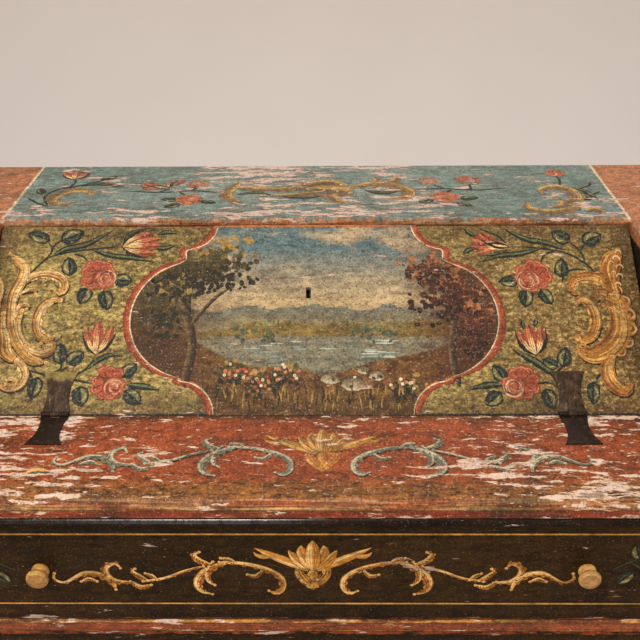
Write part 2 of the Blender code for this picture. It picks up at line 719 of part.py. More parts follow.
def leaf_outline(steps=8):
    root = KNUCKLE_RADIUS + HINGE_GAP
    right = []
    for i in range(steps + 1):
        y = root + (LEAF_LENGTH - root) * i / steps
        right.append((leaf_half_width((y - root) / (LEAF_LENGTH - root)), y))
    return right + [(-x, y) for x, y in reversed(right)]


def curl_outline():
    """The barrel of a leaf with the strip that rolls into it, seen along the pin."""
    low, high = -KNUCKLE_RADIUS, LEAF_THICKNESS - KNUCKLE_RADIUS
    reach = KNUCKLE_RADIUS + 3 * HINGE_GAP
    meet = math.degrees(math.asin(high / KNUCKLE_RADIUS))
    barrel = arc((0.0, 0.0), (KNUCKLE_RADIUS, KNUCKLE_RADIUS), meet, 270, 12)
    return [(reach, low), (reach, high)] + barrel


def rod_mesh(radius, half):
    """A round rod along X."""
    last = 360 - 360 / CIRCLE_STEPS
    return prism_mesh(arc((0.0, 0.0), (radius, radius), 0, last, CIRCLE_STEPS - 1), "X", -half, half)


def make_leaf(name, barrels, parent, location, rotation=(0.0, 0.0, 0.0)):
    """One hinge leaf: a butterfly plate with barrels over the given X ranges, bored for the pin."""
    low, high = -KNUCKLE_RADIUS, LEAF_THICKNESS - KNUCKLE_RADIUS
    plate = prism_mesh(leaf_outline(), "Z", low, high)
    leaf = add_piece(name, plate, "black_iron", parent, location, rotation)
    for i, (x_low, x_high) in enumerate(barrels):
        curl = cutter(f"{name}_curl_{i}", prism_mesh(curl_outline(), "X", x_low, x_high), leaf)
        combine(leaf, curl, "UNION")
    hole = cutter(f"{name}_bore", rod_mesh(PIN_RADIUS + FIT, LEAF_FLARE), leaf)
    combine(leaf, hole, "DIFFERENCE")


def make_hinge(side, word, pivot):
    """A butterfly hinge: the ledge leaf holds the two outer barrels, the lid leaf the middle one."""
    half, third = LEAF_ROOT / 2, LEAF_ROOT / 6
    x = side * (LID_WIDTH / 2 - HINGE_INSET)
    outer = [(-half, -third - FIT), (third + FIT, half)]
    make_leaf(f"{word}_hinge_ledge_leaf", outer, None, (x, PIVOT_Y, PIVOT_Z), (0.0, 0.0, math.pi))
    make_leaf(f"{word}_hinge_lid_leaf", [(FIT - third, third - FIT)], pivot, (x, 0.0, 0.0))
    pin = rod_mesh(PIN_RADIUS, half)
    smooth_round(add_piece(f"{word}_hinge_pin", pin, "black_iron", None, (x, PIVOT_Y, PIVOT_Z)))


def main():
    clear_scene()
    pivot = frame_empty("lid_pivot", (0.0, PIVOT_Y, PIVOT_Z), (LID_ANGLE, 0.0, 0.0))
    make_ledge()
    make_lower_case()
    make_runners()
    make_feet()
    make_base()
    make_long_drawer("top", TOP_DRAWER_Z, TOP_DRAWER_HEIGHT)
    make_long_drawer("middle", MIDDLE_DRAWER_Z, MIDDLE_DRAWER_HEIGHT)
    make_long_drawer("bottom", FLOOR_Z, BOTTOM_DRAWER_HEIGHT)
    make_upper_case()
    make_top_board(pivot)
    make_rest_rail()
    make_nest()
    make_lid(pivot)
    for side, word in ((-1, "left"), (1, "right")):
        make_tower_drawer(side, word)
        make_hinge(side, word, pivot)
    bpy.context.view_layer.update()


main()
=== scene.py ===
"""Looks of the painted butler's chest: dressed boards, iron, turned knobs and brush-painted ornament."""

import json
import math
import random

import bmesh
import bpy
from mathutils import Matrix, Vector, noise

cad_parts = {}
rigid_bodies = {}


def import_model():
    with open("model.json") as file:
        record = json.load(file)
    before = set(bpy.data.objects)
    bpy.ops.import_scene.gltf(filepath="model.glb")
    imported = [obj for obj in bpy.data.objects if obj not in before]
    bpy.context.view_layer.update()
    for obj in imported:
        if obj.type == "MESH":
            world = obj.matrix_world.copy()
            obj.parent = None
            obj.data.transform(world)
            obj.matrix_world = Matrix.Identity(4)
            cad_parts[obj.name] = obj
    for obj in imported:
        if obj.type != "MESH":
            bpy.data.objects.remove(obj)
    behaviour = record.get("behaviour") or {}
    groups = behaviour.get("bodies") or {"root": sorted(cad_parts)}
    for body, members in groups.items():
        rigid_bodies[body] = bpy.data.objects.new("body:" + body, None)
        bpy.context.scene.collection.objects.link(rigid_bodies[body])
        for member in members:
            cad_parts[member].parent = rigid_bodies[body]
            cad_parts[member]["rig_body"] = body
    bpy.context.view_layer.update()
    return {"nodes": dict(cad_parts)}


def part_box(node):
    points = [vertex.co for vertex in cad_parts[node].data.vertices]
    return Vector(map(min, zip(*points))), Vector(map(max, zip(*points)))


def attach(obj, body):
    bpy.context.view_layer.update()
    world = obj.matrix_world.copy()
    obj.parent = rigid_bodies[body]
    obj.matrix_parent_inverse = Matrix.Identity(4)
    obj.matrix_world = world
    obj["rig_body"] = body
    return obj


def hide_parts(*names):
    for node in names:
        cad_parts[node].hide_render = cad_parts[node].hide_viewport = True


bl_info = {
    "name": "Painted butlers chest",
    "version": (1, 0, 0),
    "blender": (4, 5, 0),
    "location": "View3D > Sidebar > Chest",
    "description": "Dresses the packed solids of a painted chest with a sloping lid",
    "category": "Object",
}

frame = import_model()
MM = 0.001

# Places of the painted faces, read from the solids
LEDGE_LOW, LEDGE_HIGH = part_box("ledge_board")
TOP_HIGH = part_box("top_board")[1]
LID_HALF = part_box("lid_panel")[1].x
LID_ANGLE = math.radians(35.6)
LID_COS, LID_SIN = math.cos(LID_ANGLE), math.sin(LID_ANGLE)
LID_LENGTH = 0.287
LID_FOOT_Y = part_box("left_upper_side")[0].y
LID_FOOT_Z = LEDGE_HIGH.z + 0.0003
TOP_EDGE_Y = LID_FOOT_Y + (LID_LENGTH + 0.0018) * LID_COS
FIELD_HALF = 0.447  # half the width of the top's teal field

# Corners of the opening over the keyhole, in millimetres on the lid's face
KEYHOLE_LOW, KEYHOLE_HIGH = Vector((-11.6, 170.3, 0)), Vector((-4.4, 187.4, 0))
KEYHOLE = (KEYHOLE_LOW + KEYHOLE_HIGH) / 2

LID_PLACE = Matrix((
    (MM, 0, 0, 0),
    (0, MM * LID_COS, -MM * LID_SIN, LID_FOOT_Y),
    (0, MM * LID_SIN, MM * LID_COS, LID_FOOT_Z),
    (0, 0, 0, 1),
))
TOP_PLACE = Matrix.Translation((0, TOP_EDGE_Y, TOP_HIGH.z)) @ Matrix.Scale(MM, 4)
LEDGE_PLACE = Matrix.Translation((0, LID_FOOT_Y, LEDGE_HIGH.z)) @ Matrix.Scale(MM, 4)

# Linear colours of dirt, of what lies under the paint, and of the painted shadow in the gap under the lid's foot
SOOT, SCRATCH = (0.030, 0.017, 0.007), (0.045, 0.022, 0.009)
BARE_WOOD, DIRT, GAP_SHADOW = (0.115, 0.060, 0.026), (0.012, 0.008, 0.004), (0.010, 0.006, 0.003)


# Settings

def srgb(*steps):
    """A colour given in 0 to 255 display steps, as the linear values that the shaders take."""
    shares = [step / 255 for step in steps]
    return tuple(s / 12.92 if s <= 0.04045 else ((s + 0.055) / 1.055) ** 2.4 for s in shares)


def colour(name, text, *steps):
    return bpy.props.FloatVectorProperty(
        name=name, description=text, subtype="COLOR", size=3, min=0.0, max=1.0, default=srgb(*steps),
    )


def length(name, text, value):
    return bpy.props.FloatProperty(
        name=name, description=text, subtype="DISTANCE", unit="LENGTH", min=0.0, precision=5, default=value,
    )


class ChestColours(bpy.types.PropertyGroup):
    """Paints, metal and wood of the chest."""

    olive_light: colour("Olive, light", "Lid ground where it is clean", 180, 158, 88)
    olive_dark: colour("Olive, dark", "Lid ground where it is toned down", 114, 96, 46)
    brown: colour("Brown glaze", "Toning along the edges of the painted faces", 74, 50, 26)
    salmon_light: colour("Salmon, light", "Lighter strokes of the salmon paint", 166, 80, 39)
    salmon_dark: colour("Salmon, dark", "Darker strokes of the salmon paint", 128, 57, 28)
    orange: colour("Orange", "Worn front edges", 186, 110, 60)
    teal_light: colour("Teal, light", "Lighter strokes of the top's field", 136, 150, 138)
    teal_dark: colour("Teal, dark", "Darker strokes of the top's field", 92, 108, 98)
    dark_light: colour("Drawer green, light", "Lighter strokes of the drawer fronts", 64, 41, 11)
    dark_dark: colour("Drawer green, dark", "Darker strokes of the drawer fronts", 27, 17, 4)
    bead: colour("Bead black", "Varnished bead and base moulding", 28, 17, 9)
    gesso: colour("Gesso", "Chalk ground that shows where paint is lost", 227, 204, 188)
    cream: colour("Cream", "Lines and high lights", 222, 198, 158)
    gold: colour("Gold ochre", "Scrolls", 200, 136, 56)
    gold_light: colour("Gold, light", "Lit side of the scrolls", 232, 186, 112)
    gold_shade: colour("Gold, shade", "Shaded side of the scrolls", 122, 62, 26)
    leaf_dark: colour("Leaf, dark", "Stems and leaf edges", 30, 36, 30)
    leaf_light: colour("Leaf, light", "Lit half of a leaf", 112, 116, 70)
    rose: colour("Rose", "Petals", 157, 66, 39)
    rose_light: colour("Rose, light", "Lit petals", 191, 117, 78)
    rose_shade: colour("Rose, shade", "Gaps between petals", 132, 52, 32)
    acanthus: colour("Acanthus grey", "Leaf scrolls on the ledge", 136, 140, 118)
    wood_light: colour("Wood, light", "Bare wood between the grain lines", 176, 138, 94)
    wood_dark: colour("Wood, dark", "Grain lines", 112, 78, 46)
    iron: colour("Iron", "Hinges and lock", 26, 19, 12)
    rust: colour("Rust", "Worn iron", 78, 52, 34)
    backdrop: colour("Backdrop", "Floor and wall behind the chest", 223, 213, 206)


class ChestSizes(bpy.types.PropertyGroup):
    """Sizes of the finish."""

    fit: length("Fit", "Gap between pieces that touch", 0.0003)
    ease: length("Eased edge", "Rounding of sawn edges", 0.0009)
    near_wear: length("Worn edge", "Width of the strip rubbed bare along an edge", 0.006)
    far_wear: length("Toned edge", "Width of the strip toned down along an edge", 0.022)
    lift: length("Paint lift", "Height of the first brush mark over its ground", 0.00016)
    layer: length("Paint layer", "Height of one coat of brush marks", 0.00004)
    ovolo: length("Ovolo", "Quarter round on the ledge's edge", 0.012)
    chamfer: length("Chamfer", "Chamfer under the ledge", 0.003)
    nail: length("Nail head", "Radius of the nail heads on the hinges", 0.0023)


def colours():
    return bpy.context.scene.chest_colours


def sizes():
    return bpy.context.scene.chest_sizes


def blend(first, second, share):
    return tuple(a + (b - a) * share for a, b in zip(first, second))


def shade(value, factor):
    return tuple(min(1.0, v * factor) for v in value)


def clamp(value):
    return min(1.0, max(0.0, value))


# Nodes

class Field:
    """A value or colour that changes over the surface; each step of arithmetic adds a node to its tree."""

    def __init__(self, wires, socket):
        self.wires, self.socket = wires, socket

    def __add__(self, other):
        return self.wires.math("ADD", self, other)

    def __sub__(self, other):
        return self.wires.math("SUBTRACT", self, other)

    def __rsub__(self, other):
        return self.wires.math("SUBTRACT", other, self)

    def __mul__(self, other):
        return self.wires.math("MULTIPLY", self, other)

    def most(self, other):
        return self.wires.math("MAXIMUM", self, other)

    def size(self):
        return self.wires.math("ABSOLUTE", self)

    def clamped(self):
        self.socket.node.use_clamp = True
        return self

    def span(self, start, end, low=0.0, high=1.0):
        """A smooth step from low to high while the value goes from start to end."""
        inputs = {"Value": self, "From Min": start, "From Max": end, "To Min": low, "To Max": high}
        return self.wires.add("ShaderNodeMapRange", inputs, "Result", interpolation_type="SMOOTHSTEP")


class Wiring:
    """Adds nodes to one tree and joins them."""

    def __init__(self, tree):
        self.tree = tree

    def node(self, kind, inputs, **settings):
        """A node with its settings and inputs; an input is a field, a colour or a plain value."""
        made = self.tree.nodes.new(kind)
        for key, value in settings.items():
            setattr(made, key, value)
        for key, value in inputs.items():
            socket = made.inputs[key]
            if isinstance(value, Field):
                self.tree.links.new(value.socket, socket)
            else:
                socket.default_value = (*value, 1.0) if socket.type == "RGBA" else value
        return made

    def fields(self, made):
        return {socket.name: Field(self, socket) for socket in made.outputs}

    def add(self, kind, inputs, output=0, **settings):
        return Field(self, self.node(kind, inputs, **settings).outputs[output])

    def group(self, name, **inputs):
        return self.fields(self.node("ShaderNodeGroup", inputs, node_tree=bpy.data.node_groups[name]))

    def math(self, operation, first, second=0.0):
        return self.add("ShaderNodeMath", {0: first, 1: second}, operation=operation)

    def vector(self, operation, first, second, output=0):
        return self.add("ShaderNodeVectorMath", {0: first, 1: second}, output, operation=operation)

    def pack(self, *parts):
        return self.add("ShaderNodeCombineXYZ", dict(enumerate(parts)))

    def axes(self, place):
        return self.fields(self.node("ShaderNodeSeparateXYZ", {0: place})).values()

    def attribute(self, name, output="Fac"):
        return self.add("ShaderNodeAttribute", {}, output, attribute_name=name)

    def place(self):
        return self.add("ShaderNodeTexCoord", {}, "Object")

    def grain_place(self, given):
        """Object coordinates, turned so that X runs along the grain of upright boards or of boards that run back."""
        place = self.place()
        x, y, z = self.axes(place)
        level = self.mix(given["Deep"], place, self.pack(y, x, z))
        return self.mix(given["Upright"], level, self.pack(z, y, x))

    def stretched(self, place, scale, offset=(0, 0, 0)):
        return self.add("ShaderNodeMapping", {"Vector": place, "Scale": scale, "Location": offset})

    def noise(self, place, scale, detail=4.0, roughness=0.6, offset=(0, 0, 0)):
        """Noise at one scale, or at a scale of its own along each axis."""
        if isinstance(scale, tuple):
            place, scale = self.stretched(place, scale, offset), 1.0
        inputs = {"Vector": place, "Scale": scale, "Detail": detail, "Roughness": roughness}
        return self.add("ShaderNodeTexNoise", inputs, "Fac")

    def mix(self, share, first, second, kind="MIX"):
        inputs = {0: share, 6: first, 7: second}
        return self.add("ShaderNodeMix", inputs, 2, data_type="RGBA", blend_type=kind, clamp_factor=True)

    def layered(self, body, *coats):
        """Lays coats of (share, colour) over a body, one after the other."""
        for share, value in coats:
            body = self.mix(share, body, value)
        return body


# Node groups: each function wires one group from its inputs and gives its outputs

def aged_paint(wires, given):
    """Old paint over gesso: flakes along the grain, scuffs, grime, rubbed edges, pits, specks and fine cracks."""
    gesso, under, loss, drawn = (given[key] for key in ("Gesso", "Undercoat", "Loss", "Drawn"))
    place = wires.vector("MULTIPLY", wires.grain_place(given), wires.pack(1.0, drawn, drawn))
    bend = wires.add("ShaderNodeTexNoise", {"Vector": place, "Scale": 38.0, "Detail": 2.0}, "Color")
    bent = wires.vector("ADD", place, wires.vector("MULTIPLY", bend, (0.012, 0.006, 0.006)))
    flake = wires.noise(bent, (24, 150, 150), 8.0, 0.60)
    drift = wires.noise(place, (7, 17, 17), 3.0, 0.55, (3, 1, 7))
    fine = wires.noise(place, 360.0, 3.0, 0.7)
    middle = wires.noise(place, (80, 130, 130), 6.0, 0.68, (1, 4, 2))
    chip = wires.noise(bent, (75, 290, 290), 4.0, 0.6, (2, 6, 4))
    scuff = wires.noise(bent, (16, 120, 120), 7.0, 0.66, (5, 2, 9))
    smoke = wires.noise(place, (9, 24, 24), 5.0, 0.62, (8, 3, 1))
    cells = wires.add(
        "ShaderNodeTexVoronoi", {"Vector": wires.stretched(bent, (80, 130, 130)), "Scale": 1.0}, "Distance",
        feature="DISTANCE_TO_EDGE",
    )

    level = flake + (drift - 0.5) * 0.55 + loss * 0.36
    lost = level.span(0.690, 0.712).most((chip + loss * 0.16).span(0.705, 0.735))
    rim = (level.span(0.655, 0.690) - lost).clamped()
    deep = scuff.span(0.50, 0.58) * level.span(0.74, 0.80)
    rubbed = (given["Edge"] + (flake - 0.5) * 1.3).span(0.72, 0.90)
    speck = fine.span(0.59, 0.69) * given["Speckle"]
    pit = fine.span(0.465, 0.355) * given["Speckle"]
    crack = cells.span(0.04, 0.0) * middle.span(0.42, 0.6)

    tone = middle.span(0.29, 0.71, 0.54, 1.32)
    tone = wires.add("ShaderNodeCombineColor", {0: tone, 1: tone, 2: tone})
    body = wires.layered(
        wires.mix(1.0, given["Colour"], tone, "MULTIPLY"),
        (rubbed, wires.mix(1.0, under, tone, "MULTIPLY")),
        (rim * 0.40, under),
        (smoke.span(0.46, 0.74) * given["Grime"] * 0.75, SOOT),
        (scuff.span(0.57, 0.66) * given["Grime"] * 0.70, SCRATCH),
        (speck * 0.40, gesso),
        (lost * 0.94, wires.mix(middle.span(0.3, 0.7), wires.mix(0.45, gesso, under), gesso)),
        (deep * 0.7, BARE_WOOD),
        ((pit * 0.74 + crack * 0.26).clamped(), DIRT),
    )
    rough = middle.span(0.2, 0.8, 0.52, 0.68) + lost * 0.25
    height = 1.0 - lost * 0.75 - crack * 0.30 - rubbed * 0.30 + middle * 0.45
    return {"Colour": body, "Roughness": rough, "Height": height}


def brushed(wires, place, light, dark, drawn=45.0):
    """Two tones of one paint, mottled and drawn out along the boards."""
    patch = wires.noise(place, (5.4, 9.0, 9.0), 3.0, 0.55)
    brush = wires.noise(place, (drawn, 144.0, 144.0), 5.0, 0.68, (2, 5, 1))
    return wires.mix((patch * 0.55 + brush * 0.6).span(0.36, 0.80), dark, light)


SHORT_BRUSH = 108.0


def board_ground(wires, given):
    """Ground of a plain painted board, toned down and worn where the mesh is marked as an edge."""
    mark = wires.attribute("edge")
    paint = brushed(wires, wires.grain_place(given), given["Light"], given["Dark"])
    toned = wires.mix(mark.span(0.0, 0.55) * 0.55, paint, given["Glaze"])
    loss = given["Wear"] + mark.span(0.2, 1.0) * 0.12
    return {"Colour": toned, "Loss": loss, "Edge": mark.span(0.45, 1.0, 0.0, 0.82)}


def slope_height(wires, place):
    """Distance up the lid's slope from its foot."""
    along = wires.vector("DOT_PRODUCT", place, (0, LID_COS, LID_SIN), "Value")
    return along - (LID_FOOT_Y * LID_COS + LID_FOOT_Z * LID_SIN)


def lid_ground(wires, given):
    """Mottled olive of the lid, browner towards its edges, orange where its head is rubbed, with a painted shadow along
    its foot and painted shade over its right half.
    """
    tint, place = colours(), wires.place()
    x, y, z = wires.axes(place)
    across, up = x.size(), slope_height(wires, place)
    waver = (wires.noise(place, 14.0) - 0.5) * 0.05
    sides = (across + waver).span(LID_HALF - 0.050, LID_HALF)
    head = (up + waver).span(LID_LENGTH - 0.085, LID_LENGTH)
    foot = (up + waver).span(0.045, 0.004)
    blotch = wires.noise(place, (26, 40, 40), 6.0, 0.68, (4, 7, 2))
    stipple = wires.noise(place, (150, 200, 200), 4.0, 0.7, (7, 2, 5))
    ruddy = wires.noise(place, (110, 150, 150), 4.0, 0.7, (2, 9, 6))
    keyhole = wires.vector("DISTANCE", wires.pack(x, up), KEYHOLE * MM, "Value")
    paint = wires.layered(
        brushed(wires, place, tint.olive_light, tint.olive_dark, SHORT_BRUSH),
        (blotch.span(0.50, 0.70, 0.0, 0.50), tint.brown),
        (blotch.span(0.46, 0.30, 0.0, 0.40), blend(tint.olive_light, tint.cream, 0.25)),
        (ruddy.span(0.54, 0.66, 0.0, 0.55), tint.salmon_light),
        (stipple.span(0.48, 0.37, 0.0, 0.72), shade(tint.brown, 0.8)),
        # amber toning over the right half, darkened there also as painted shade, as if the light fell from the left
        (x.span(0.05, 0.42, 0.0, 0.60), shade(blend(tint.olive_dark, tint.gold_shade, 0.55), 0.85)),
        (stipple.span(0.52, 0.61, 0.0, 0.70), blend(tint.olive_light, tint.gold_light, 0.60)),
        (head * 0.50, tint.brown),
        (sides.most(foot) * 0.60, tint.brown),
        # near-black over the lid's lowest few millimetres: painted shadow of the gap where the lid stands on the ledge
        (up.span(0.0036, 0.0022, 0.0, 0.92), GAP_SHADOW),
        (keyhole.span(0.013, 0.009, 0.0, 0.9), shade(tint.brown, 0.4)),
    )
    head_rub = up.span(LID_LENGTH - 0.007, LID_LENGTH - 0.001, 0.0, 0.8)
    side_rub = across.span(LID_HALF - 0.004, LID_HALF, 0.0, 0.75)
    return {"Colour": paint, "Loss": foot * 0.08 + sides * 0.10, "Edge": head_rub.most(side_rub)}


def top_ground(wires, given):
    """The top: teal field between salmon ends, a cream line between them, an orange front edge."""
    tint, place = colours(), wires.place()
    x, y, z = wires.axes(place)
    waver = (wires.noise(place, 60.0, 3.0) - 0.5) * 0.004
    across, depth = x.size() + waver, y - TOP_EDGE_Y
    ends = across.span(FIELD_HALF, FIELD_HALF + 0.0015)
    line = ends * across.span(FIELD_HALF + 0.0055, FIELD_HALF + 0.0040)
    middle = across.span(FIELD_HALF + 0.0045, FIELD_HALF + 0.0025)
    low = (z + waver).span(TOP_HIGH.z - 0.0014, TOP_HIGH.z - 0.0040)
    under = z.span(TOP_HIGH.z - 0.003, TOP_HIGH.z - 0.006)
    torn = wires.noise(place, (70, 230, 230), 7.0, 0.72, (1, 9, 4))
    streak = wires.noise(place, (12, 240, 240), 6.0, 0.66, (6, 1, 3))
    rim = (depth + (torn - 0.5) * 0.060).span(0.0040, 0.0010) * middle
    salmon = brushed(wires, place, *(
        blend(blend(paint, tint.orange, 0.50), tint.cream, 0.13) for paint in (tint.salmon_light, tint.salmon_dark)
    ))
    rubbed = blend(tint.orange, tint.cream, 0.20), blend(tint.orange, tint.salmon_dark, 0.35)
    bare = wires.layered(
        brushed(wires, place, *rubbed, SHORT_BRUSH),
        (torn.span(0.54, 0.62), blend(tint.orange, tint.cream, 0.75)),
        (streak.span(0.50, 0.60, 0.0, 0.60), blend(tint.orange, tint.cream, 0.70)),
        (streak.span(0.46, 0.36, 0.0, 0.50), tint.brown),
    )
    paint = wires.layered(
        brushed(wires, place, tint.teal_light, tint.teal_dark),
        (ends, salmon),
        (line, tint.cream),
        (rim, wires.mix(torn.span(0.44, 0.36, 0.0, 0.5), bare, tint.brown)),
        (under, wires.mix(middle, salmon, bare)),
    )
    front = depth.span(0.085, 0.012, 0.0, 0.15) * low.span(1.0, 0.1, 0.45, 1.0) * x.span(0.05, 0.35, 1.0, 1.35)
    heart = (x - 0.03).size().span(0.34, 0.06, 0.0, 0.29) * depth.span(0.0, 0.03)
    loss = ((front + heart) * middle + 0.13) * under.span(0.0, 1.0, 1.0, 0.3)
    return {"Colour": paint, "Loss": loss, "Edge": depth.span(0.006, 0.001, 0.0, 0.55) * middle}


def ledge_ground(wires, given):
    """The ledge: salmon, browned along its front and darkened with painted shade along the lid's foot, with an ochre
    quarter round over a red fillet.
    """
    tint, place = colours(), wires.place()
    x, y, z = wires.axes(place)
    across, depth = x.size(), y - LEDGE_LOW.y

    def below(start, end):
        """A step between two depths under the ledge's upper face."""
        return z.span(LEDGE_HIGH.z - start, LEDGE_HIGH.z - end)

    moulding, groove = below(0.0008, 0.0022), below(0.0122, 0.0134) * below(0.0155, 0.0142)
    salmon = brushed(wires, place, tint.salmon_light, tint.salmon_dark)
    torn = wires.noise(place, (70, 170, 170), 7.0, 0.75, (4, 4, 8))
    streak = wires.noise(place, (13, 210, 210), 6.0, 0.66, (6, 1, 3))
    drawn = wires.noise(place, (8, 260, 260), 5.0, 0.7, (2, 8, 1))
    browned = wires.mix(torn.span(0.42, 0.52), shade(tint.brown, 0.55), blend(tint.gold, tint.brown, 0.55))
    ochre = wires.layered(
        salmon,
        (drawn.span(0.42, 0.58, 0.0, 0.66), blend(tint.gold, tint.cream, 0.30)),
        (below(0.0085, 0.0105) * drawn.span(0.40, 0.55, 0.0, 0.55), blend(tint.gold_light, tint.olive_light, 0.4)),
        (streak.span(0.48, 0.66, 0.0, 0.60), tint.brown),
    )
    seam = (depth - sizes().ovolo).size().span(0.0016, 0.0004) * streak.span(0.44, 0.60, 0.0, 0.70)
    reds = shade(tint.rose_shade, 0.8), blend(tint.salmon_light, tint.rose_shade, 0.55)
    paint = wires.layered(
        salmon,
        ((depth + (torn - 0.5) * 0.16).span(0.046, 0.028, 0.0, 0.72), browned),
        # darker brown in a strip along the lid's foot and under the lid: painted shade where the lid meets the ledge
        ((LID_FOOT_Y - y).span(0.016, 0.0, 0.0, 0.8), tint.brown),
        (moulding, ochre),
        (seam, shade(tint.brown, 0.5)),
        (below(0.0125, 0.0150), wires.mix(streak.span(0.35, 0.65), *reds)),
        (groove * 0.45, tint.brown),
    )
    loss = across.span(0.12, 0.38, 0.31, 0.48) * across.span(LEDGE_HIGH.x - 0.016, LEDGE_HIGH.x - 0.010, 1.0, 0.35)
    loss = loss * moulding.span(0.0, 1.0, 1.0, 0.62) * y.span(LID_FOOT_Y, LID_FOOT_Y + 0.012, 1.0, 0.05)
    edge = below(0.004, 0.001) * depth.span(0.0165, 0.0125, 0.0, 0.45)
    return {"Colour": paint, "Loss": loss, "Edge": edge}


def sawn_wood(wires, given):
    """Sawn wood, its grain along X."""
    place, dark = wires.place(), given["Dark"]
    x, y, z = wires.axes(place)
    vector = wires.pack(x * given["Along"], y * given["Across"], z * 55.0)
    rings = wires.math("FRACT", wires.noise(vector, 1.0, 3.0, 0.5) * 9.0)
    grain = rings.span(0.55, 0.95) * rings.span(1.0, 0.95)
    pores = wires.noise(wires.vector("MULTIPLY", vector, (6, 6, 6)), 1.0, 4.0, 0.7)
    share = (grain * 0.55 + pores.span(0.45, 0.75, 0.0, 0.5)).clamped()
    stain = wires.noise(place, 7.0, 3.0).span(0.5, 0.8, 0.0, 0.45)
    body = wires.layered(given["Light"], (share, dark), (stain, dark))
    return {"Colour": body, "Roughness": pores.span(0.3, 0.7, 0.62, 0.82), "Height": 1.0 - share}


def forged_iron(wires, given):
    """Forged iron, blackened, rust-brown where it is rubbed."""
    scale, hammer = wires.noise(wires.place(), 120.0, 5.0, 0.65), wires.noise(wires.place(), 75.0, 2.0, 0.5)
    rusted = (scale.span(0.54, 0.70, 0.0, 0.7) + wires.attribute("edge") * 0.25).clamped()
    return {
        "Colour": wires.mix(rusted, given["Dark"], given["Rust"]),
        "Roughness": scale.span(0.3, 0.7, 0.42, 0.70),
        "Metallic": rusted.span(0.0, 1.0, 0.40, 0.10),
        "Height": hammer * 0.8 + scale * 0.4,
    }


# Inputs and outputs of the groups
GROUND, SURFACE = "Colour Loss Edge", "Colour Roughness Height"
GROUPS = (
    (aged_paint, "Colour Gesso Undercoat Loss Edge Speckle Grime Upright Deep Drawn", SURFACE),
    (board_ground, "Light Dark Glaze Wear Upright Deep", GROUND),
    (lid_ground, "", GROUND),
    (top_ground, "", GROUND),
    (ledge_ground, "", GROUND),
    (sawn_wood, "Light Dark Along Across", SURFACE),
    (forged_iron, "Dark Rust", "Colour Roughness Metallic Height"),
)
COLOUR_SOCKETS = "Colour Gesso Undercoat Light Dark Glaze Rust".split()


def make_groups():
    for build, inputs, outputs in GROUPS:
        if build.__name__ in bpy.data.node_groups:
            continue
        tree = bpy.data.node_groups.new(build.__name__, "ShaderNodeTree")
        for words, way in ((inputs, "INPUT"), (outputs, "OUTPUT")):
            for word in words.split():
                kind = "NodeSocketColor" if word in COLOUR_SOCKETS else "NodeSocketFloat"
                tree.interface.new_socket(name=word, in_out=way, socket_type=kind)
        wires = Wiring(tree)
        given = wires.fields(wires.node("NodeGroupInput", {}))
        wires.node("NodeGroupOutput", build(wires, given))


# Materials

def new_material(name):
    make_groups()
    material = bpy.data.materials.new(name)
    material.use_nodes = True
    material.node_tree.nodes.clear()
    return material, Wiring(material.node_tree)


def finish_shader(wires, looks, bump, specular, coat=0.0, polish=0.18, coat_index=1.5, one_sided=False):
    """Principled shader and output for the looks of a surface; one-sided, its back is clear."""
    strength, reach = bump
    normal = wires.add("ShaderNodeBump", {"Strength": strength, "Distance": reach, "Height": looks["Height"]})
    inputs = {
        "Base Color": looks["Colour"], "Roughness": looks["Roughness"], "Metallic": looks.get("Metallic", 0.0),
        "Normal": normal, "Specular IOR Level": specular, "Coat Weight": coat, "Coat Roughness": polish,
        "Coat IOR": coat_index,
    }
    surface = wires.add("ShaderNodeBsdfPrincipled", inputs)
    if one_sided:
        behind = wires.add("ShaderNodeNewGeometry", {}, "Backfacing")
        clear = wires.add("ShaderNodeBsdfTransparent", {})
        surface = wires.add("ShaderNodeMixShader", {0: behind, 1: surface, 2: clear})
    wires.node("ShaderNodeOutputMaterial", {"Surface": surface})


# Undercoat, speckle, grime, stain of the gesso, coat, stretch of the flakes and wear spared under brush marks
FINISHES = {
    "top": ("orange", 0.85, 0.65, 0.13, 0.0, 0.62, 0.15),
    "lid": ("orange", 0.95, 0.60, 0.10, 0.0, 1.0, 0.12),
    "ledge": ("gold", 0.80, 1.0, 0.0, 0.0, 0.75, 0.05),
    "salmon": ("gold", 0.6, 0.8, 0.0, 0.0, 1.0, 0.0),
    "drawer": ("salmon_dark", 0.5, 0.6, 0.35, 0.06, 1.0, 0.0),
    "olive": ("brown", 0.7, 0.8, 0.0, 0.0, 1.0, 0.0),
    "shadow": ("brown", 0.25, 0.5, 0.0, 0.0, 1.0, 0.0),
    "bead": ("brown", 0.25, 0.5, 0.0, 0.0, 1.0, 0.0),
    "gilt": ("brown", 0.25, 0.5, 0.0, 0.25, 1.0, 0.0),
}


def paint_ground(wires, finish, grain):
    """Ground of a painted finish: that of the lid, the top or the ledge, or a plain board's."""
    tint = colours()
    plain = {
        "salmon": (tint.salmon_light, tint.salmon_dark, tint.brown, 0.02),
        "drawer": (tint.dark_light, tint.dark_dark, tint.bead, -0.08),
        "olive": (tint.olive_light, tint.olive_dark, tint.brown, 0.08),
        # near-black paint of the partitions: painted shade on the towers' inner faces beside the lid
        "shadow": (shade(tint.dark_dark, 0.9), shade(tint.bead, 0.8), tint.bead, 0.0),
        "bead": (shade(tint.bead, 1.3), shade(tint.bead, 0.8), tint.bead, -0.02),
        "gilt": (tint.gold_light, tint.gold, tint.gold_shade, 0.05),
    }
    if finish not in plain:
        return wires.group(f"{finish}_ground")
    return wires.group("board_ground", **dict(zip(("Light", "Dark", "Glaze", "Wear"), plain[finish])), **grain)


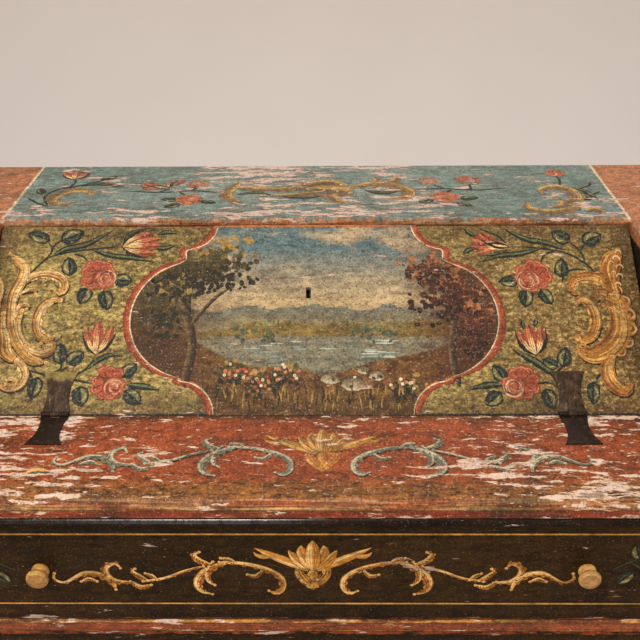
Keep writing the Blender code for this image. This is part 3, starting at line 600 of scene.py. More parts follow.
def bead_varnish(wires):
    """Varnish of the bead: patchy, on its upper half, most of it left of the middle."""
    x, y, z = wires.axes(wires.place())
    patchy = wires.noise(wires.place(), (170, 60, 60), 5.0, 0.7).span(0.30, 0.60, 0.25, 1.0)
    coat = z.span(LEDGE_LOW.z - 0.0085, LEDGE_LOW.z - 0.0050, 0.05, 1.0) * patchy
    return coat * x.span(0.03, -0.09, 0.06, 1.0) * x.span(-0.32, -0.16, 0.40, 1.0)


def paint_material(finish, marks=False):
    """Aged paint of a finish, such as salmon_upright; with marks, the brush colours of the mesh lie on its ground."""
    name = f"{finish}_ornament" if marks else f"aged_{finish}"
    if name in bpy.data.materials:
        return bpy.data.materials[name]
    tint = colours()
    material, wires = new_material(name)
    finish, _, way = finish.partition("_")
    undercoat, speckle, grime, stain, coat, drawn, spared = FINISHES[finish]
    grain = {"Upright": float(way == "upright"), "Deep": float(way == "deep")}
    ground = paint_ground(wires, finish, grain)
    body, loss = ground["Colour"], ground["Loss"]
    if marks:
        ragged = wires.noise(wires.place(), 420.0, 3.0, 0.65)
        worn = wires.noise(wires.place(), 75.0, 4.0, 0.65)
        kept = wires.attribute("cover") + (ragged - 0.5) * 0.95 + (worn - 0.5) * 0.85
        body = wires.mix(kept.span(0.30, 0.50), body, wires.attribute("paint", "Color"))
        loss = loss - spared
    looks = wires.group(
        "aged_paint", Colour=body, Loss=loss, Edge=ground["Edge"], Gesso=blend(tint.gesso, tint.brown, stain),
        Undercoat=getattr(tint, undercoat), Speckle=speckle, Grime=grime, Drawn=drawn, **grain,
    )
    varnished = finish == "bead"
    finish_shader(
        wires, looks, (0.55, 0.0005), 0.05 if finish in ("bead", "drawer") else 0.22,
        bead_varnish(wires) if varnished else coat, 0.24 if varnished else 0.22, 2.1 if varnished else 1.5,
    )
    return material


def wood_material():
    name = "bare_wood_grain"
    if name in bpy.data.materials:
        return bpy.data.materials[name]
    tint = colours()
    material, wires = new_material(name)
    looks = wires.group("sawn_wood", Light=tint.wood_light, Dark=tint.wood_dark, Along=3.0, Across=55.0)
    finish_shader(wires, looks, (0.35, 0.0004), 0.3)
    return material


def iron_material(overpainted=False):
    name = "overpainted_iron" if overpainted else "black_iron_patina"
    if name in bpy.data.materials:
        return bpy.data.materials[name]
    tint = colours()
    material, wires = new_material(name)
    looks = wires.group("forged_iron", Dark=tint.iron, Rust=tint.rust)
    if overpainted:
        place = wires.place()
        trace = wires.noise(place, (90, 60, 60), 6.0, 0.7)
        fleck = wires.noise(place, (300, 120, 120), 4.0, 0.65)
        smear = wires.mix(fleck.span(0.35, 0.65), shade(tint.brown, 0.5), blend(tint.brown, tint.gesso, 0.05))
        x, y, z = wires.axes(place)
        high = slope_height(wires, place) + (trace - 0.5) * 0.02
        tones = blend(tint.olive_light, tint.brown, 0.25), blend(tint.olive_dark, tint.brown, 0.5)
        looks["Colour"] = wires.layered(
            looks["Colour"],
            (trace.span(0.36, 0.56, 0.15, 0.85), smear),
            (fleck.span(0.66, 0.74, 0.0, 0.40), tint.gesso),
            (x.span(0.1, -0.1) * high.span(0.046, 0.054, 0.0, 0.95), brushed(wires, place, *tones, SHORT_BRUSH)),
        )
    finish_shader(wires, looks, (0.6, 0.0006), 0.25)
    return material


# Meshes

def add_piece(name, bm, material, body, replaced=(), angle=40.0):
    """Turns a bmesh into a piece that moves with a body and stands for the given solids."""
    mesh = bpy.data.meshes.new(name)
    bm.to_mesh(mesh)
    bm.free()
    mesh.materials.append(material)
    if angle:
        mesh.shade_smooth()
        mesh.set_sharp_from_angle(angle=math.radians(angle))
    piece = bpy.data.objects.new(name, mesh)
    bpy.context.scene.collection.objects.link(piece)
    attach(piece, body)
    if replaced:
        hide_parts(*replaced)
    return piece


def body_of_node(node):
    return frame["nodes"][node]["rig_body"]


def even_shading(piece):
    piece.modifiers.new("even_shading", "WEIGHTED_NORMAL").keep_sharp = True


def mark(verts, layer, value):
    for vert in verts:
        vert[layer] = value


def all_marked(bm, value):
    mark(bm.verts, bm.verts.layers.float.new("edge"), value)


BROAD_FACE = 0.012  # a narrower face gets no rings


def mark_edges(bm, near, far):
    """Rings inside each broad four-sided face carry an edge mark that fades from the rim inwards."""
    edge = bm.verts.layers.float.new("edge")
    mark(bm.verts, edge, 1.0)
    for face in bm.faces:
        if len(face.verts) > 4:
            mark(face.verts, edge, 0.35)
    sides = [(face, min(e.calc_length() for e in face.edges)) for face in bm.faces if len(face.verts) == 4]
    for face, side in sides:
        if side <= BROAD_FACE:
            continue
        first = min(near, 0.22 * side)
        for thickness, value in ((first, 0.45), (min(far, 0.40 * side) - first, 0.0)):
            bmesh.ops.inset_individual(bm, faces=[face], thickness=thickness)
            mark(face.verts, edge, value)


def eased_copy(node, offset, angle):
    """A copy of a solid, joined into its flat faces, with softly eased edges."""
    bm = bmesh.new()
    bm.from_mesh(frame["nodes"][node].data)
    bmesh.ops.remove_doubles(bm, verts=bm.verts, dist=1e-6)
    bmesh.ops.dissolve_limit(bm, angle_limit=math.radians(1), verts=bm.verts, edges=bm.edges)
    edges = [e for e in bm.edges if len(e.link_faces) == 2 and e.calc_face_angle(0.0) > math.radians(angle)]
    if edges:
        bmesh.ops.bevel(
            bm, geom=edges, offset=offset, segments=2, profile=0.5, affect="EDGES", material=-1, clamp_overlap=True,
        )
    return bm


def dressed(node, finish, ease=None, angle=40.0):
    """A painted board as its solid gives it, with eased edges and edge marks."""
    bm = eased_copy(node, ease or sizes().ease, angle)
    mark_edges(bm, sizes().near_wear, sizes().far_wear)
    bmesh.ops.recalc_face_normals(bm, faces=bm.faces)
    even_shading(add_piece(f"{node}_dressed", bm, paint_material(finish), body_of_node(node), (node,)))


def finish_nodes(material, *nodes):
    """Solids whose shape is right keep it and take a finish."""
    for node in nodes:
        mesh = frame["nodes"][node].data
        mesh.materials.clear()
        mesh.materials.append(material)


def of_kind(kind, geometry):
    return [element for element in geometry if isinstance(element, kind)]


def extruded(bm, edges, step):
    """Extrudes edges, moves what has grown by a matrix and gives the new edges."""
    grown = bmesh.ops.extrude_edge_only(bm, edges=edges)["geom"]
    bmesh.ops.transform(bm, matrix=step, verts=of_kind(bmesh.types.BMVert, grown))
    return of_kind(bmesh.types.BMEdge, grown)


def swept_moulding(profile, half, front, back):
    """Sweeps a closed (out, height) profile up one side, across the front and down the other, mitred."""
    bm = bmesh.new()
    verts = [bm.verts.new((-half - out, back, z)) for out, z in profile]
    start = edges = [bm.edges.new((a, b)) for a, b in zip(verts, verts[1:] + verts[:1])]
    mitre = Matrix(((1, 0, 0, 0), (1, 0, 0, front + half), (0, 0, 1, 0), (0, 0, 0, 1)))
    across = Matrix.Diagonal((-1, 1, 1, 1))
    return_end = Matrix(((1, 0, 0, 0), (0, 0, 0, back), (0, 0, 1, 0), (0, 0, 0, 1)))
    for step in (mitre, across, return_end):
        edges = extruded(bm, edges, step)
    bmesh.ops.edgeloop_fill(bm, edges=start)
    bmesh.ops.edgeloop_fill(bm, edges=edges)
    bmesh.ops.recalc_face_normals(bm, faces=bm.faces)
    return bm


def arc(middle, radii, start, end, steps):
    angles = [math.radians(start + (end - start) * i / steps) for i in range(steps + 1)]
    return [(middle[0] + radii[0] * math.cos(a), middle[1] + radii[1] * math.sin(a)) for a in angles]


# Brush marks

def aim(angle):
    return Vector((math.cos(angle), math.sin(angle)))


def bearing(way):
    return math.atan2(way.y, way.x)


def ring(middle, radius, start, sweep, steps=4):
    """Points on an arc about a middle."""
    return [middle + aim(start + sweep * k / steps) * radius for k in range(steps + 1)]


def smooth_path(points, count):
    """Equal steps along a smooth curve through the points, as (place, direction, width share)."""
    knots = [Vector((p[0], p[1], p[2] if len(p) > 2 else 1.0)) for p in points]
    knots = [2 * knots[0] - knots[1]] + knots + [2 * knots[-1] - knots[-2]]
    fine = []
    for a, b, c, d in zip(knots, knots[1:], knots[2:], knots[3:]):
        second, third = 2 * a - 5 * b + 4 * c - d, 3 * b - a - 3 * c + d
        for t in (i / 12 for i in range(12)):
            fine.append(0.5 * (2 * b + (c - a) * t + second * t * t + third * t ** 3))
    fine.append(knots[-2])
    reach = [0.0]
    for a, b in zip(fine, fine[1:]):
        reach.append(reach[-1] + (b.xy - a.xy).length)
    steps, at = [], 0
    for i in range(count + 1):
        goal = reach[-1] * i / count
        while at < len(fine) - 2 and reach[at + 1] < goal:
            at += 1
        share = (goal - reach[at]) / max(reach[at + 1] - reach[at], 1e-9)
        point = fine[at].lerp(fine[at + 1], min(share, 1.0))
        steps.append((point.xy, (fine[at + 1].xy - fine[at].xy).normalized(), max(point.z, 0.0)))
    return steps


# Width of a mark along its length
PROFILES = {
    "line": lambda t: min(1.0, 0.35 + 6 * t, 0.2 + 5 * (1 - t)),
    "blade": lambda t: math.sin(math.pi * t ** 0.85) ** 0.8,
    "oval": lambda t: math.sqrt(max(0.0, 1 - (2 * t - 1) ** 2)),
    "leaf": lambda t: math.sqrt(max(0.0, 1 - (2 * t ** 0.9 - 1) ** 2)) * (1.0 - 0.25 * t),
    "drop": lambda t: math.sqrt(min(1.0, t / 0.18)) * (1 - t) ** 0.65,
    "petal": lambda t: 1.2 * (1 - t) ** 0.75 * (0.5 + 1.6 * t),
    "band": lambda t: min(1.0, math.sqrt(max(0.0, 18 * t)), math.sqrt(max(0.0, 18 * (1 - t)))),
}
ACROSS = (-0.5, -0.33, 0.0, 0.33, 0.5)


class PaintSheet:
    """Brush marks laid in millimetres on one flat face, each a little above the last."""

    def __init__(self):
        self.marks = []
        self.offset = Matrix.Identity(4)

    def layers(self, bm):
        return bm.verts.layers.float_color.new("paint"), bm.verts.layers.float.new("cover")

    def height(self, coat):
        """Coats lie over each other, and so do the marks of one coat."""
        return (sizes().lift + coat * sizes().layer) / MM + 0.001 * (len(self.marks) % 40)

    def stroke(self, points, width, tones, coat=0, profile="line", cover=1.0, tips=None, fine=5.0):
        """One mark along a path; tones are one colour or those of its left, middle and right, tips those at its end."""
        tones = (tuple(tones),) * 3 if isinstance(tones[0], float) else [tuple(tone) for tone in tones]
        rough_length = sum((Vector(b[:2]) - Vector(a[:2])).length for a, b in zip(points, points[1:]))
        count = max(5, min(30, int(rough_length / fine)))
        strip = bmesh.new()
        paint, keep = self.layers(strip)
        rows = [[] for _ in range(count + 1)]
        for vert in bmesh.ops.create_grid(strip, x_segments=count, y_segments=4, size=0.5)["verts"]:
            rows[round((vert.co.x + 0.5) * count)].append(vert)
        height = self.height(coat)
        for i, (place, way, share) in enumerate(smooth_path(points, count)):
            t = i / count
            waver = 1.0 + 0.10 * noise.noise(Vector((place.x / 5, place.y / 5, 2.5 + coat)))
            wide = 1.12 * waver * width * share * max(0.03, PROFILES[profile](t))
            left, middle, right = tones if tips is None else [blend(a, b, t ** 1.3) for a, b in zip(tones, tips)]
            for vert, side in zip(sorted(rows[i], key=lambda v: v.co.y), ACROSS):
                vert[paint] = (*blend(middle, left if side < 0 else right, abs(side) * 2), 1.0)
                vert[keep] = cover if abs(side) < 0.4 else 0.72 * cover
                vert.co = (0.0, side, 0.0)
            turn = Matrix((
                (way.x, -way.y * wide, 0, place.x), (way.y, way.x * wide, 0, place.y), (0, 0, 1, height), (0, 0, 0, 1),
            ))
            bmesh.ops.transform(strip, matrix=self.offset @ turn, verts=rows[i])
        if self.offset.determinant() < 0:
            bmesh.ops.reverse_faces(strip, faces=strip.faces)
        self.marks.append((height, strip))

    def dab(self, place, size, heading, value, coat=0, cover=1.0):
        """A short single touch of the brush."""
        long, wide = size
        way = aim(heading) * long / 2
        ends = [Vector(place) - way, Vector(place) + way]
        self.stroke(ends, wide, value, coat, "oval", cover, fine=max(long / 4, 2.0))

    def land(self, name, place, body, finish):
        """Joins the marks from the lowest up, maps them as one flat picture and lays them on their face."""
        bm = bmesh.new()
        self.layers(bm)
        carrier = bpy.data.meshes.new("brush_mark")
        for height, strip in sorted(self.marks, key=lambda pair: pair[0]):
            strip.to_mesh(carrier)
            strip.free()
            bm.from_mesh(carrier)
        bpy.data.meshes.remove(carrier)
        low = [min(vert.co[axis] for vert in bm.verts) for axis in (0, 1)]
        span = [max(vert.co[axis] for vert in bm.verts) - low[axis] for axis in (0, 1)]
        picture = bm.loops.layers.uv.new("OFBake")
        for face in bm.faces:
            for loop in face.loops:
                loop[picture].uv = [(loop.vert.co[axis] - low[axis]) / span[axis] for axis in (0, 1)]
        bmesh.ops.transform(bm, matrix=place, verts=bm.verts)
        add_piece(name, bm, paint_material(finish, True), body, angle=0)


def stem(sheet, points, width=3.0):
    tint = colours()
    sheet.stroke(points, width, (tint.leaf_dark, tint.leaf_dark, shade(tint.leaf_light, 0.55)), 1)


def blade(sheet, points, width):
    """A long pointed leaf with a lighter stripe."""
    tint = colours()
    sheet.stroke(points, width, tint.leaf_dark, 2, "blade")
    stripe = [(x + 0.8, y + 0.9) for x, y in points]
    sheet.stroke(stripe, width * 0.35, blend(tint.leaf_dark, tint.leaf_light, 0.75), 3, "blade")


def leaf(sheet, place, size, heading, lit=1.0):
    """A dark oval leaf, one half lit, with a rib."""
    tint = colours()
    dark, bright = tint.leaf_dark, blend(tint.leaf_light, tint.olive_light, 0.45)
    way, spot = aim(math.radians(heading)), Vector(place)
    side = way.orthogonal()
    long, wide = size

    def path(bow, share=1.0):
        return [spot + way * long * share * k / 2 + side * bow * (1 - k * k) for k in (-1, -0.4, 0.2, 1)]

    sheet.stroke(path(0.0), wide, (blend(dark, tint.teal_dark, 0.10), dark, dark), 3, "leaf")
    lights = [blend(dark, bright, share * lit) for share in (0.35, 0.78, 0.4)]
    sheet.stroke(path(wide * 0.23, 0.80), wide * 0.38, lights, 4, "leaf")
    sheet.stroke(path(wide * 0.31, 0.55), wide * 0.10, blend(bright, tint.cream, 0.2), 5, "blade", 0.55)
    sheet.stroke(path(-wide * 0.22, 0.66), wide * 0.12, blend(dark, tint.leaf_light, 0.35), 5, "blade", 0.7)
    sheet.stroke(path(0.0, 0.95), 1.5, dark, 5)


def rose(sheet, place, size, heart, rng, cover=1.0, tones=None):
    """An open rose: round petals crowd one side, a loosely ringed heart sits at the other."""
    tint = colours()
    middle, core = Vector(place), Vector(heart)
    across, tall = size
    red, pale, deep = tones or (tint.rose, tint.rose_light, tint.rose_shade)
    facing = bearing(middle - core)
    reach = Vector((across * 0.34, 0))
    sheet.stroke([middle - reach, middle + reach], tall * 0.66, (red, blend(red, deep, 0.5), red), 5, "oval", cover)
    for i, turn in enumerate((2.5, -2.5, 1.75, -1.75, 1.0, -1.0, 0.35, -0.35)):
        angle = facing + turn + rng.uniform(-0.15, 0.15)
        out = Vector((math.cos(angle) * across, math.sin(angle) * tall)) * 0.5
        spot = middle + out * rng.uniform(0.56, 0.66)
        reach = out.normalized().orthogonal() * across * 0.15
        tone = blend(red, pale, rng.uniform(0.0, 0.3))
        tones = blend(tone, deep, 0.3), tone, blend(tone, pale, 0.3)
        petal = [spot - reach, spot + out * 0.05, spot + reach]
        sheet.stroke(petal, across * 0.33, tones, 6 + i % 2, "oval", cover)
        for radius, start, sweep, width, value, keep in (
            (0.145, -1.1, 2.2, 1.9, pale, 0.8), (0.15, 1.4, 1.5, 2.1, deep, 0.8),
            (0.07, -0.7, 1.6, 1.6, blend(pale, red, 0.4), 0.7),
        ):
            sheet.stroke(ring(spot, across * radius, angle + start, sweep), width, value, 8, "blade", keep * cover)
    radius = across * 0.30
    reach = Vector((radius, 0))
    tones = [blend(red, pale, share) for share in (0.15, 0.40, 0.25)]
    sheet.stroke([core - reach, core + reach], 2 * radius * 0.90, tones, 9, "oval", cover)
    for i in range(15):
        share, start = 0.95 - 0.055 * i, rng.uniform(0, math.tau)
        value = deep if i % 3 == 2 else blend(pale, tint.cream, rng.uniform(0.1, 0.6))
        curl = ring(core, radius * share, start, rng.uniform(1.1, 2.4))
        sheet.stroke(curl, 1.4 + 0.9 * rng.random(), value, 10 + i % 2, "blade", 0.9 * cover)


def tulip(sheet, base, tips, width, cover=1.0):
    """A bud of flame-like petals, yellow at the base and red at the tips, between dark sepals."""
    tint = colours()
    red, pale, deep = tint.rose, tint.rose_light, tint.rose_shade
    yellow = blend(tint.gold, tint.cream, 0.25)
    yellows = blend(yellow, tint.gold_shade, 0.35), yellow, blend(yellow, tint.gold, 0.4)
    root, last = Vector(base), len(tips) - 1
    leans = {0: 0.09, last: -0.09}
    for step, index in enumerate([0, last, *range(1, last)]):
        tip = Vector(tips[index])
        axis = tip - root
        across, bow = axis.normalized().orthogonal() * width, axis.orthogonal() * leans.get(index, 0.0)

        def at(share, bowed, aside=Vector((0, 0))):
            return root + axis * share + bow * bowed + aside

        reds = deep, red, blend(red, pale, 0.35)
        sheet.stroke([root, at(0.35, 1), at(0.72, 0.7), tip], width * 0.80, yellows, 5 + step, "petal", cover, reds)
        for k, reach in ((-0.30, 0.88), (0.30, 0.92)):
            aside = across * k
            flame = [at(0.30, 1, aside * 0.8), at(0.62, 0.8, aside), at(reach, 0, aside * 0.9)]
            sheet.stroke(flame, width * 0.30, (red, blend(red, pale, 0.25), red), 9, "petal", 0.9 * cover)
        for k in (-0.24, -0.08, 0.1, 0.26):
            aside = across * k
            warm = blend(tint.gold_light, tint.cream, 0.3) if k > -0.1 else tint.gold_shade
            streak = [root + aside * 0.4, at(0.3, 1, aside), at(0.58, 1, aside)]
            sheet.stroke(streak, 1.6, warm, 10, "blade", 0.8 * cover)
            streak = [at(0.5, 1, aside), at(0.72, 0.7, aside * 0.9), tip + aside * 0.3]
            sheet.stroke(streak, 1.5, pale if k > 0 else deep, 10, "blade", 0.75 * cover)
    for index, lean in ((0, 0.22), (last, -0.22)):
        axis = Vector(tips[index]) - root
        bow = axis.orthogonal() * lean
        steps = (-0.06, 0), (0.22, 0.8), (0.55, 1), (0.86, 0.9)
        sepal = [root + axis * share + bow * bowed for share, bowed in steps]
        sheet.stroke(sepal, 3.4, tint.leaf_dark, 11, "blade", cover)


def gilt_tones():
    tint = colours()
    return tint.gold_light, tint.gold, tint.gold_shade


def scroll(sheet, points, tones, cover=1.0, swell=1.0, shadow=True, leafy=False, frill=False, gleam=0.5):
    """A painted scroll of (u, v, width) points: dark underline, flat band, tapered lights and shades, curled ends."""
    tint = colours()
    light, middle, dark = tones
    half, deep = blend(middle, dark, 0.40), blend(middle, dark, 0.65)
    cream = blend(light, tint.cream, gleam)
    points = [(x, y, w * swell) for x, y, w in points]
    lines = smooth_path(points, 16)

    def fleck(k, side, aside, turn, size, value, coat, least=0.0):
        """A dab at one side of the scroll's line, measured in shares of the scroll's width there."""
        spot, way, wide = lines[k]
        size = wide * size[0], max(wide * size[1], least)
        sheet.dab(spot + way.orthogonal() * side * wide * aside, size, bearing(way) + side * turn, value, coat, cover)

    if shadow:
        under = [(x + 1.0, y - 2.0, w + 1.2) for x, y, w in points]
        sheet.stroke(under, 1.0, shade(tint.brown, 0.45), 2, "band", 0.85 * cover, fine=4.0)
    if leafy:
        for k in range(2, 16, 2):
            fleck(k, -1, 0.42, 0.7, (1.15, 0.75), blend(middle, dark, 0.35 + 0.2 * (k % 4)), 3)
        for k in range(1, 16):
            side = 1 if k % 2 else -1
            fleck(k, side, 0.22, 0.75, (0.75, 0.18), light if side > 0 else dark, 8, 1.0)
    if frill:
        turning = sum(a[1].cross(b[1]) for a, b in zip(lines, lines[1:]))
        inner = 1 if turning > 0 else -1
        for k in range(2, 15):
            fleck(k, inner, 0.46, 0.9, (0.85, 0.46), (light, half, cream)[k % 3], 3 + k % 2)
    band = blend(middle, dark, 0.30), middle, blend(middle, light, 0.30)
    sheet.stroke(points, 1.0, band, 4, "band", cover, fine=4.0)
    streaks = (
        (-0.42, 0.0, 1.0, dark, 0.13), (-0.29, 0.15, 0.85, half, 0.09), (-0.17, 0.0, 0.6, light, 0.09),
        (-0.08, 0.4, 1.0, deep, 0.08), (0.02, 0.2, 0.9, half, 0.07), (0.11, 0.05, 0.75, light, 0.11),
        (0.21, 0.35, 1.0, half, 0.08), (0.32, 0.0, 0.96, blend(light, cream, 0.4), 0.15),
        (0.24, 0.1, 0.5, cream, 0.06), (0.45, 0.2, 0.9, deep, 0.08),
    )
    for step, (aside, begin, end, value, thick) in enumerate(streaks):
        chosen = lines[int(begin * 16): int(end * 16) + 1]
        path = [(p.x - d.y * w * aside, p.y + d.x * w * aside, max(w * thick, 1.1)) for p, d, w in chosen]
        sheet.stroke(path, 1.15, value, 5 + step % 3, "blade", 0.9 * cover, fine=4.0)
    for spot, way, wide in (lines[0], lines[-1]):
        size, start = max(wide, 4.0), bearing(way)
        sheet.dab(spot, (size * 1.2, size * 1.05), 0.0, middle, 7, 0.9 * cover)
        sheet.stroke(ring(spot, size * 0.34, start, 4.9, 5), size * 0.24, cream, 8, "blade", 0.9 * cover)
        sheet.stroke(ring(spot, size * 0.60, start + 2.6, 2.4), size * 0.16, dark, 8, "blade", 0.9 * cover)


# Lid ornament: points in millimetres across the lid and up its slope

LID_STEMS = (
    ((-397, 212), (-386, 226), (-375, 239), (-373, 251), (-380, 260)), ((-374, 250), (-368, 258), (-359, 264)),
    ((-376, 236), (-349, 244), (-305, 250), (-275, 253)), ((-340, 241), (-327, 237), (-319, 228)),
    ((-379, 64), (-356, 58), (-324, 57), (-304, 66), (-293, 84)), ((-350, 59), (-338, 66), (-338, 76)),
    ((-338, 62), (-328, 70)), ((-356, 58), (-325, 52), (-292, 45)), ((-379, 64), (-374, 52)),
    ((395, 206), (376, 227), (350, 242), (310, 249), (277, 251)), ((380, 224), (375, 243), (361, 258)),
    ((375, 243), (381, 253)), ((340, 244), (325, 238), (317, 224)), ((378, 214), (360, 214), (349, 206), (344, 194)),
    ((322, 44), (314, 58), (298, 72), (296, 84)), ((316, 56), (326, 64), (332, 70)),
    ((294, 44), (310, 46), (320, 40)), ((388, 62), (378, 56), (372, 46)),
)
LID_BLADES = (
    (((-374, 235), (-354, 249), (-324, 257), (-287, 281)), 9),
    (((-318, 249), (-291, 239), (-256, 234), (-226, 228)), 8), (((-304, 64), (-291, 77), (-274, 86), (-254, 84)), 8),
    (((-248, 43), (-226, 41), (-203, 36)), 9), (((-272, 256), (-267, 271), (-253, 279), (-236, 285)), 5),
    (((-272, 250), (-256, 242), (-229, 238)), 5), (((-226, 272), (-212, 276), (-196, 274)), 7),
    (((-228, 250), (-212, 250), (-196, 256)), 7), (((356, 245), (328, 257), (298, 264), (268, 282)), 9),
    (((320, 248), (292, 240), (260, 236), (230, 226)), 8), (((322, 52), (300, 72), (266, 93)), 10),
    (((252, 43), (230, 42), (204, 37)), 9), (((273, 254), (264, 268), (250, 275), (236, 281)), 5),
    (((272, 246), (258, 240), (236, 236)), 5), (((214, 281), (222, 272), (234, 268)), 7),
    (((210, 239), (218, 246), (228, 247)), 7), (((295, 84), (280, 97), (272, 120)), 5),
    (((299, 85), (311, 101), (314, 126)), 5), (((284, 122), (283, 138)), 6), (((300, 126), (303, 141)), 6),
)
LID_LEAVES = (
    ((-394, 269), (36, 20), 160), ((-346, 270), (36, 24), 24), ((-345, 221), (32, 22), 100),
    ((-267, 199), (27, 22), -5), ((-319, 175), (28, 22), 250), ((-288, 168), (32, 22), 285),
    ((-341, 88), (32, 20), 95), ((-320, 82), (28, 22), 40), ((-369, 39), (33, 20), 262), ((-307, 27), (30, 24), 280),
    ((-246, 64), (28, 20), 45), ((-238, 26), (30, 23), -40), ((350, 267), (30, 22), 145), ((394, 264), (32, 23), 25),
    ((346, 217), (31, 21), 80), ((270, 196), (29, 19), 185), ((292, 170), (30, 21), 262), ((320, 172), (28, 20), 300),
    ((246, 59), (28, 20), 120), ((236, 23), (28, 22), 220), ((309, 23), (31, 20), 285), ((367, 31), (34, 18), 262),
    ((335, 82), (31, 20), 75), ((315, 73), (24, 17), 150),
)
LID_ROSES = (
    ((-303, 208), (52, 47), (-292, 201)), ((-272, 46), (48, 52), (-263, 39)), ((305, 205), (54, 48), (297, 197)),
    ((274, 45), (50, 50), (264, 39)),
)
LID_TULIPS = (
    ((-272, 253), ((-231, 275), (-218, 266), (-217, 254), (-225, 242)), 15, 1.0),
    ((-293, 88), ((-309, 128), (-294, 138), (-274, 129)), 16, 0.78),
    ((273, 251), ((233, 275), (220, 266), (220, 253), (228, 241)), 15, 1.0),
    ((297, 86), ((277, 124), (290, 132), (308, 127)), 16, 0.95),
)
LID_SCROLLS = (
    ((-427, 148, 8), (-425, 129, 11), (-419, 109, 17), (-415, 92, 18), (-405, 81, 11), (-397, 78, 5)),
    ((-443, 206, 4), (-436, 186, 9), (-438, 164, 9), (-434, 142, 6)),
    ((-432, 242, 4), (-420, 231, 11), (-409, 221, 15), (-408, 205, 16), (-414, 188, 16), (-418, 172, 15),
     (-417, 154, 14), (-414, 132, 16), (-407, 112, 18), (-396, 95, 17), (-382, 82, 15), (-368, 76, 11),
     (-359, 75, 5)),
    ((-406, 195, 6), (-394, 206, 10), (-381, 210, 10), (-365, 209, 12), (-351, 201, 11), (-347, 191, 10),
     (-350, 180, 8), (-356, 180, 6), (-360, 183, 4)),
    ((-408, 178, 3), (-398, 184, 6), (-389, 184, 6), (-387, 178, 4)),
    ((-409, 144, 4), (-407, 158, 7), (-400, 162, 7), (-394, 159, 6), (-396, 155, 3)),
    ((-351, 168, 8), (-363, 169, 10), (-374, 160, 12), (-379, 147, 12), (-380, 132, 11), (-375, 117, 11),
     (-366, 110, 10), (-356, 110, 7), (-352, 114, 3)),
    ((-402, 152, 7), (-405, 138, 8), (-403, 123, 9), (-397, 110, 9), (-386, 99, 9), (-375, 95, 8), (-369, 103, 5)),
    ((-390, 100, 5), (-381, 92, 8), (-368, 88, 11), (-357, 91, 11), (-351, 99, 8), (-357, 105, 5), (-361, 101, 3)),
    ((-398, 78, 8), (-388, 68, 10), (-384, 56, 9), (-388, 44, 10), (-399, 38, 8), (-410, 39, 6), (-417, 46, 4)),
    ((-408, 50, 4), (-400, 52, 9), (-395, 46, 8), (-402, 43, 3)),
    ((418, 172, 6), (414, 193, 15), (413, 212, 23), (417, 228, 23), (425, 239, 14), (428, 246, 6)),
    ((416, 173, 5), (405, 193, 11), (391, 202, 13), (374, 203, 12), (360, 197, 10), (355, 186, 8), (359, 177, 6),
     (365, 176, 3)),
    ((413, 172, 15), (415, 149, 20), (415, 128, 22), (408, 109, 24), (394, 94, 24), (378, 86, 22), (365, 86, 16),
     (356, 94, 9), (358, 100, 5), (364, 99, 4)),
    ((417, 161, 4), (408, 173, 9), (397, 179, 10), (390, 175, 9), (389, 168, 6), (394, 169, 3)),
    ((421, 138, 4), (415, 153, 10), (405, 159, 10), (397, 159, 5)),
    ((360, 160, 5), (370, 167, 8), (380, 158, 10), (384, 143, 11), (383, 128, 11), (376, 114, 11), (365, 108, 12),
     (356, 110, 9)),
    ((398, 82, 8), (390, 67, 15), (391, 51, 17), (399, 39, 16), (409, 34, 13), (417, 42, 7), (414, 51, 3)),
)
# Scallops along the right-hand scroll: middle and width
LID_LOBES = ((419, 182, 12), (426, 165, 15), (429, 145, 17), (428, 124, 17), (422, 104, 15), (411, 90, 13))
LID_RIM = ((415, 184, 6), (422, 166, 11), (424, 144, 13), (423, 122, 13), (416, 103, 13), (406, 90, 10), (396, 83, 5))
# Curls over the right-hand scroll: middle and width
LID_CURLS = (
    (421, 190, 7), (425, 203, 8), (427, 217, 9), (424, 231, 9), (428, 241, 7), (416, 224, 6), (417, 208, 6),
)


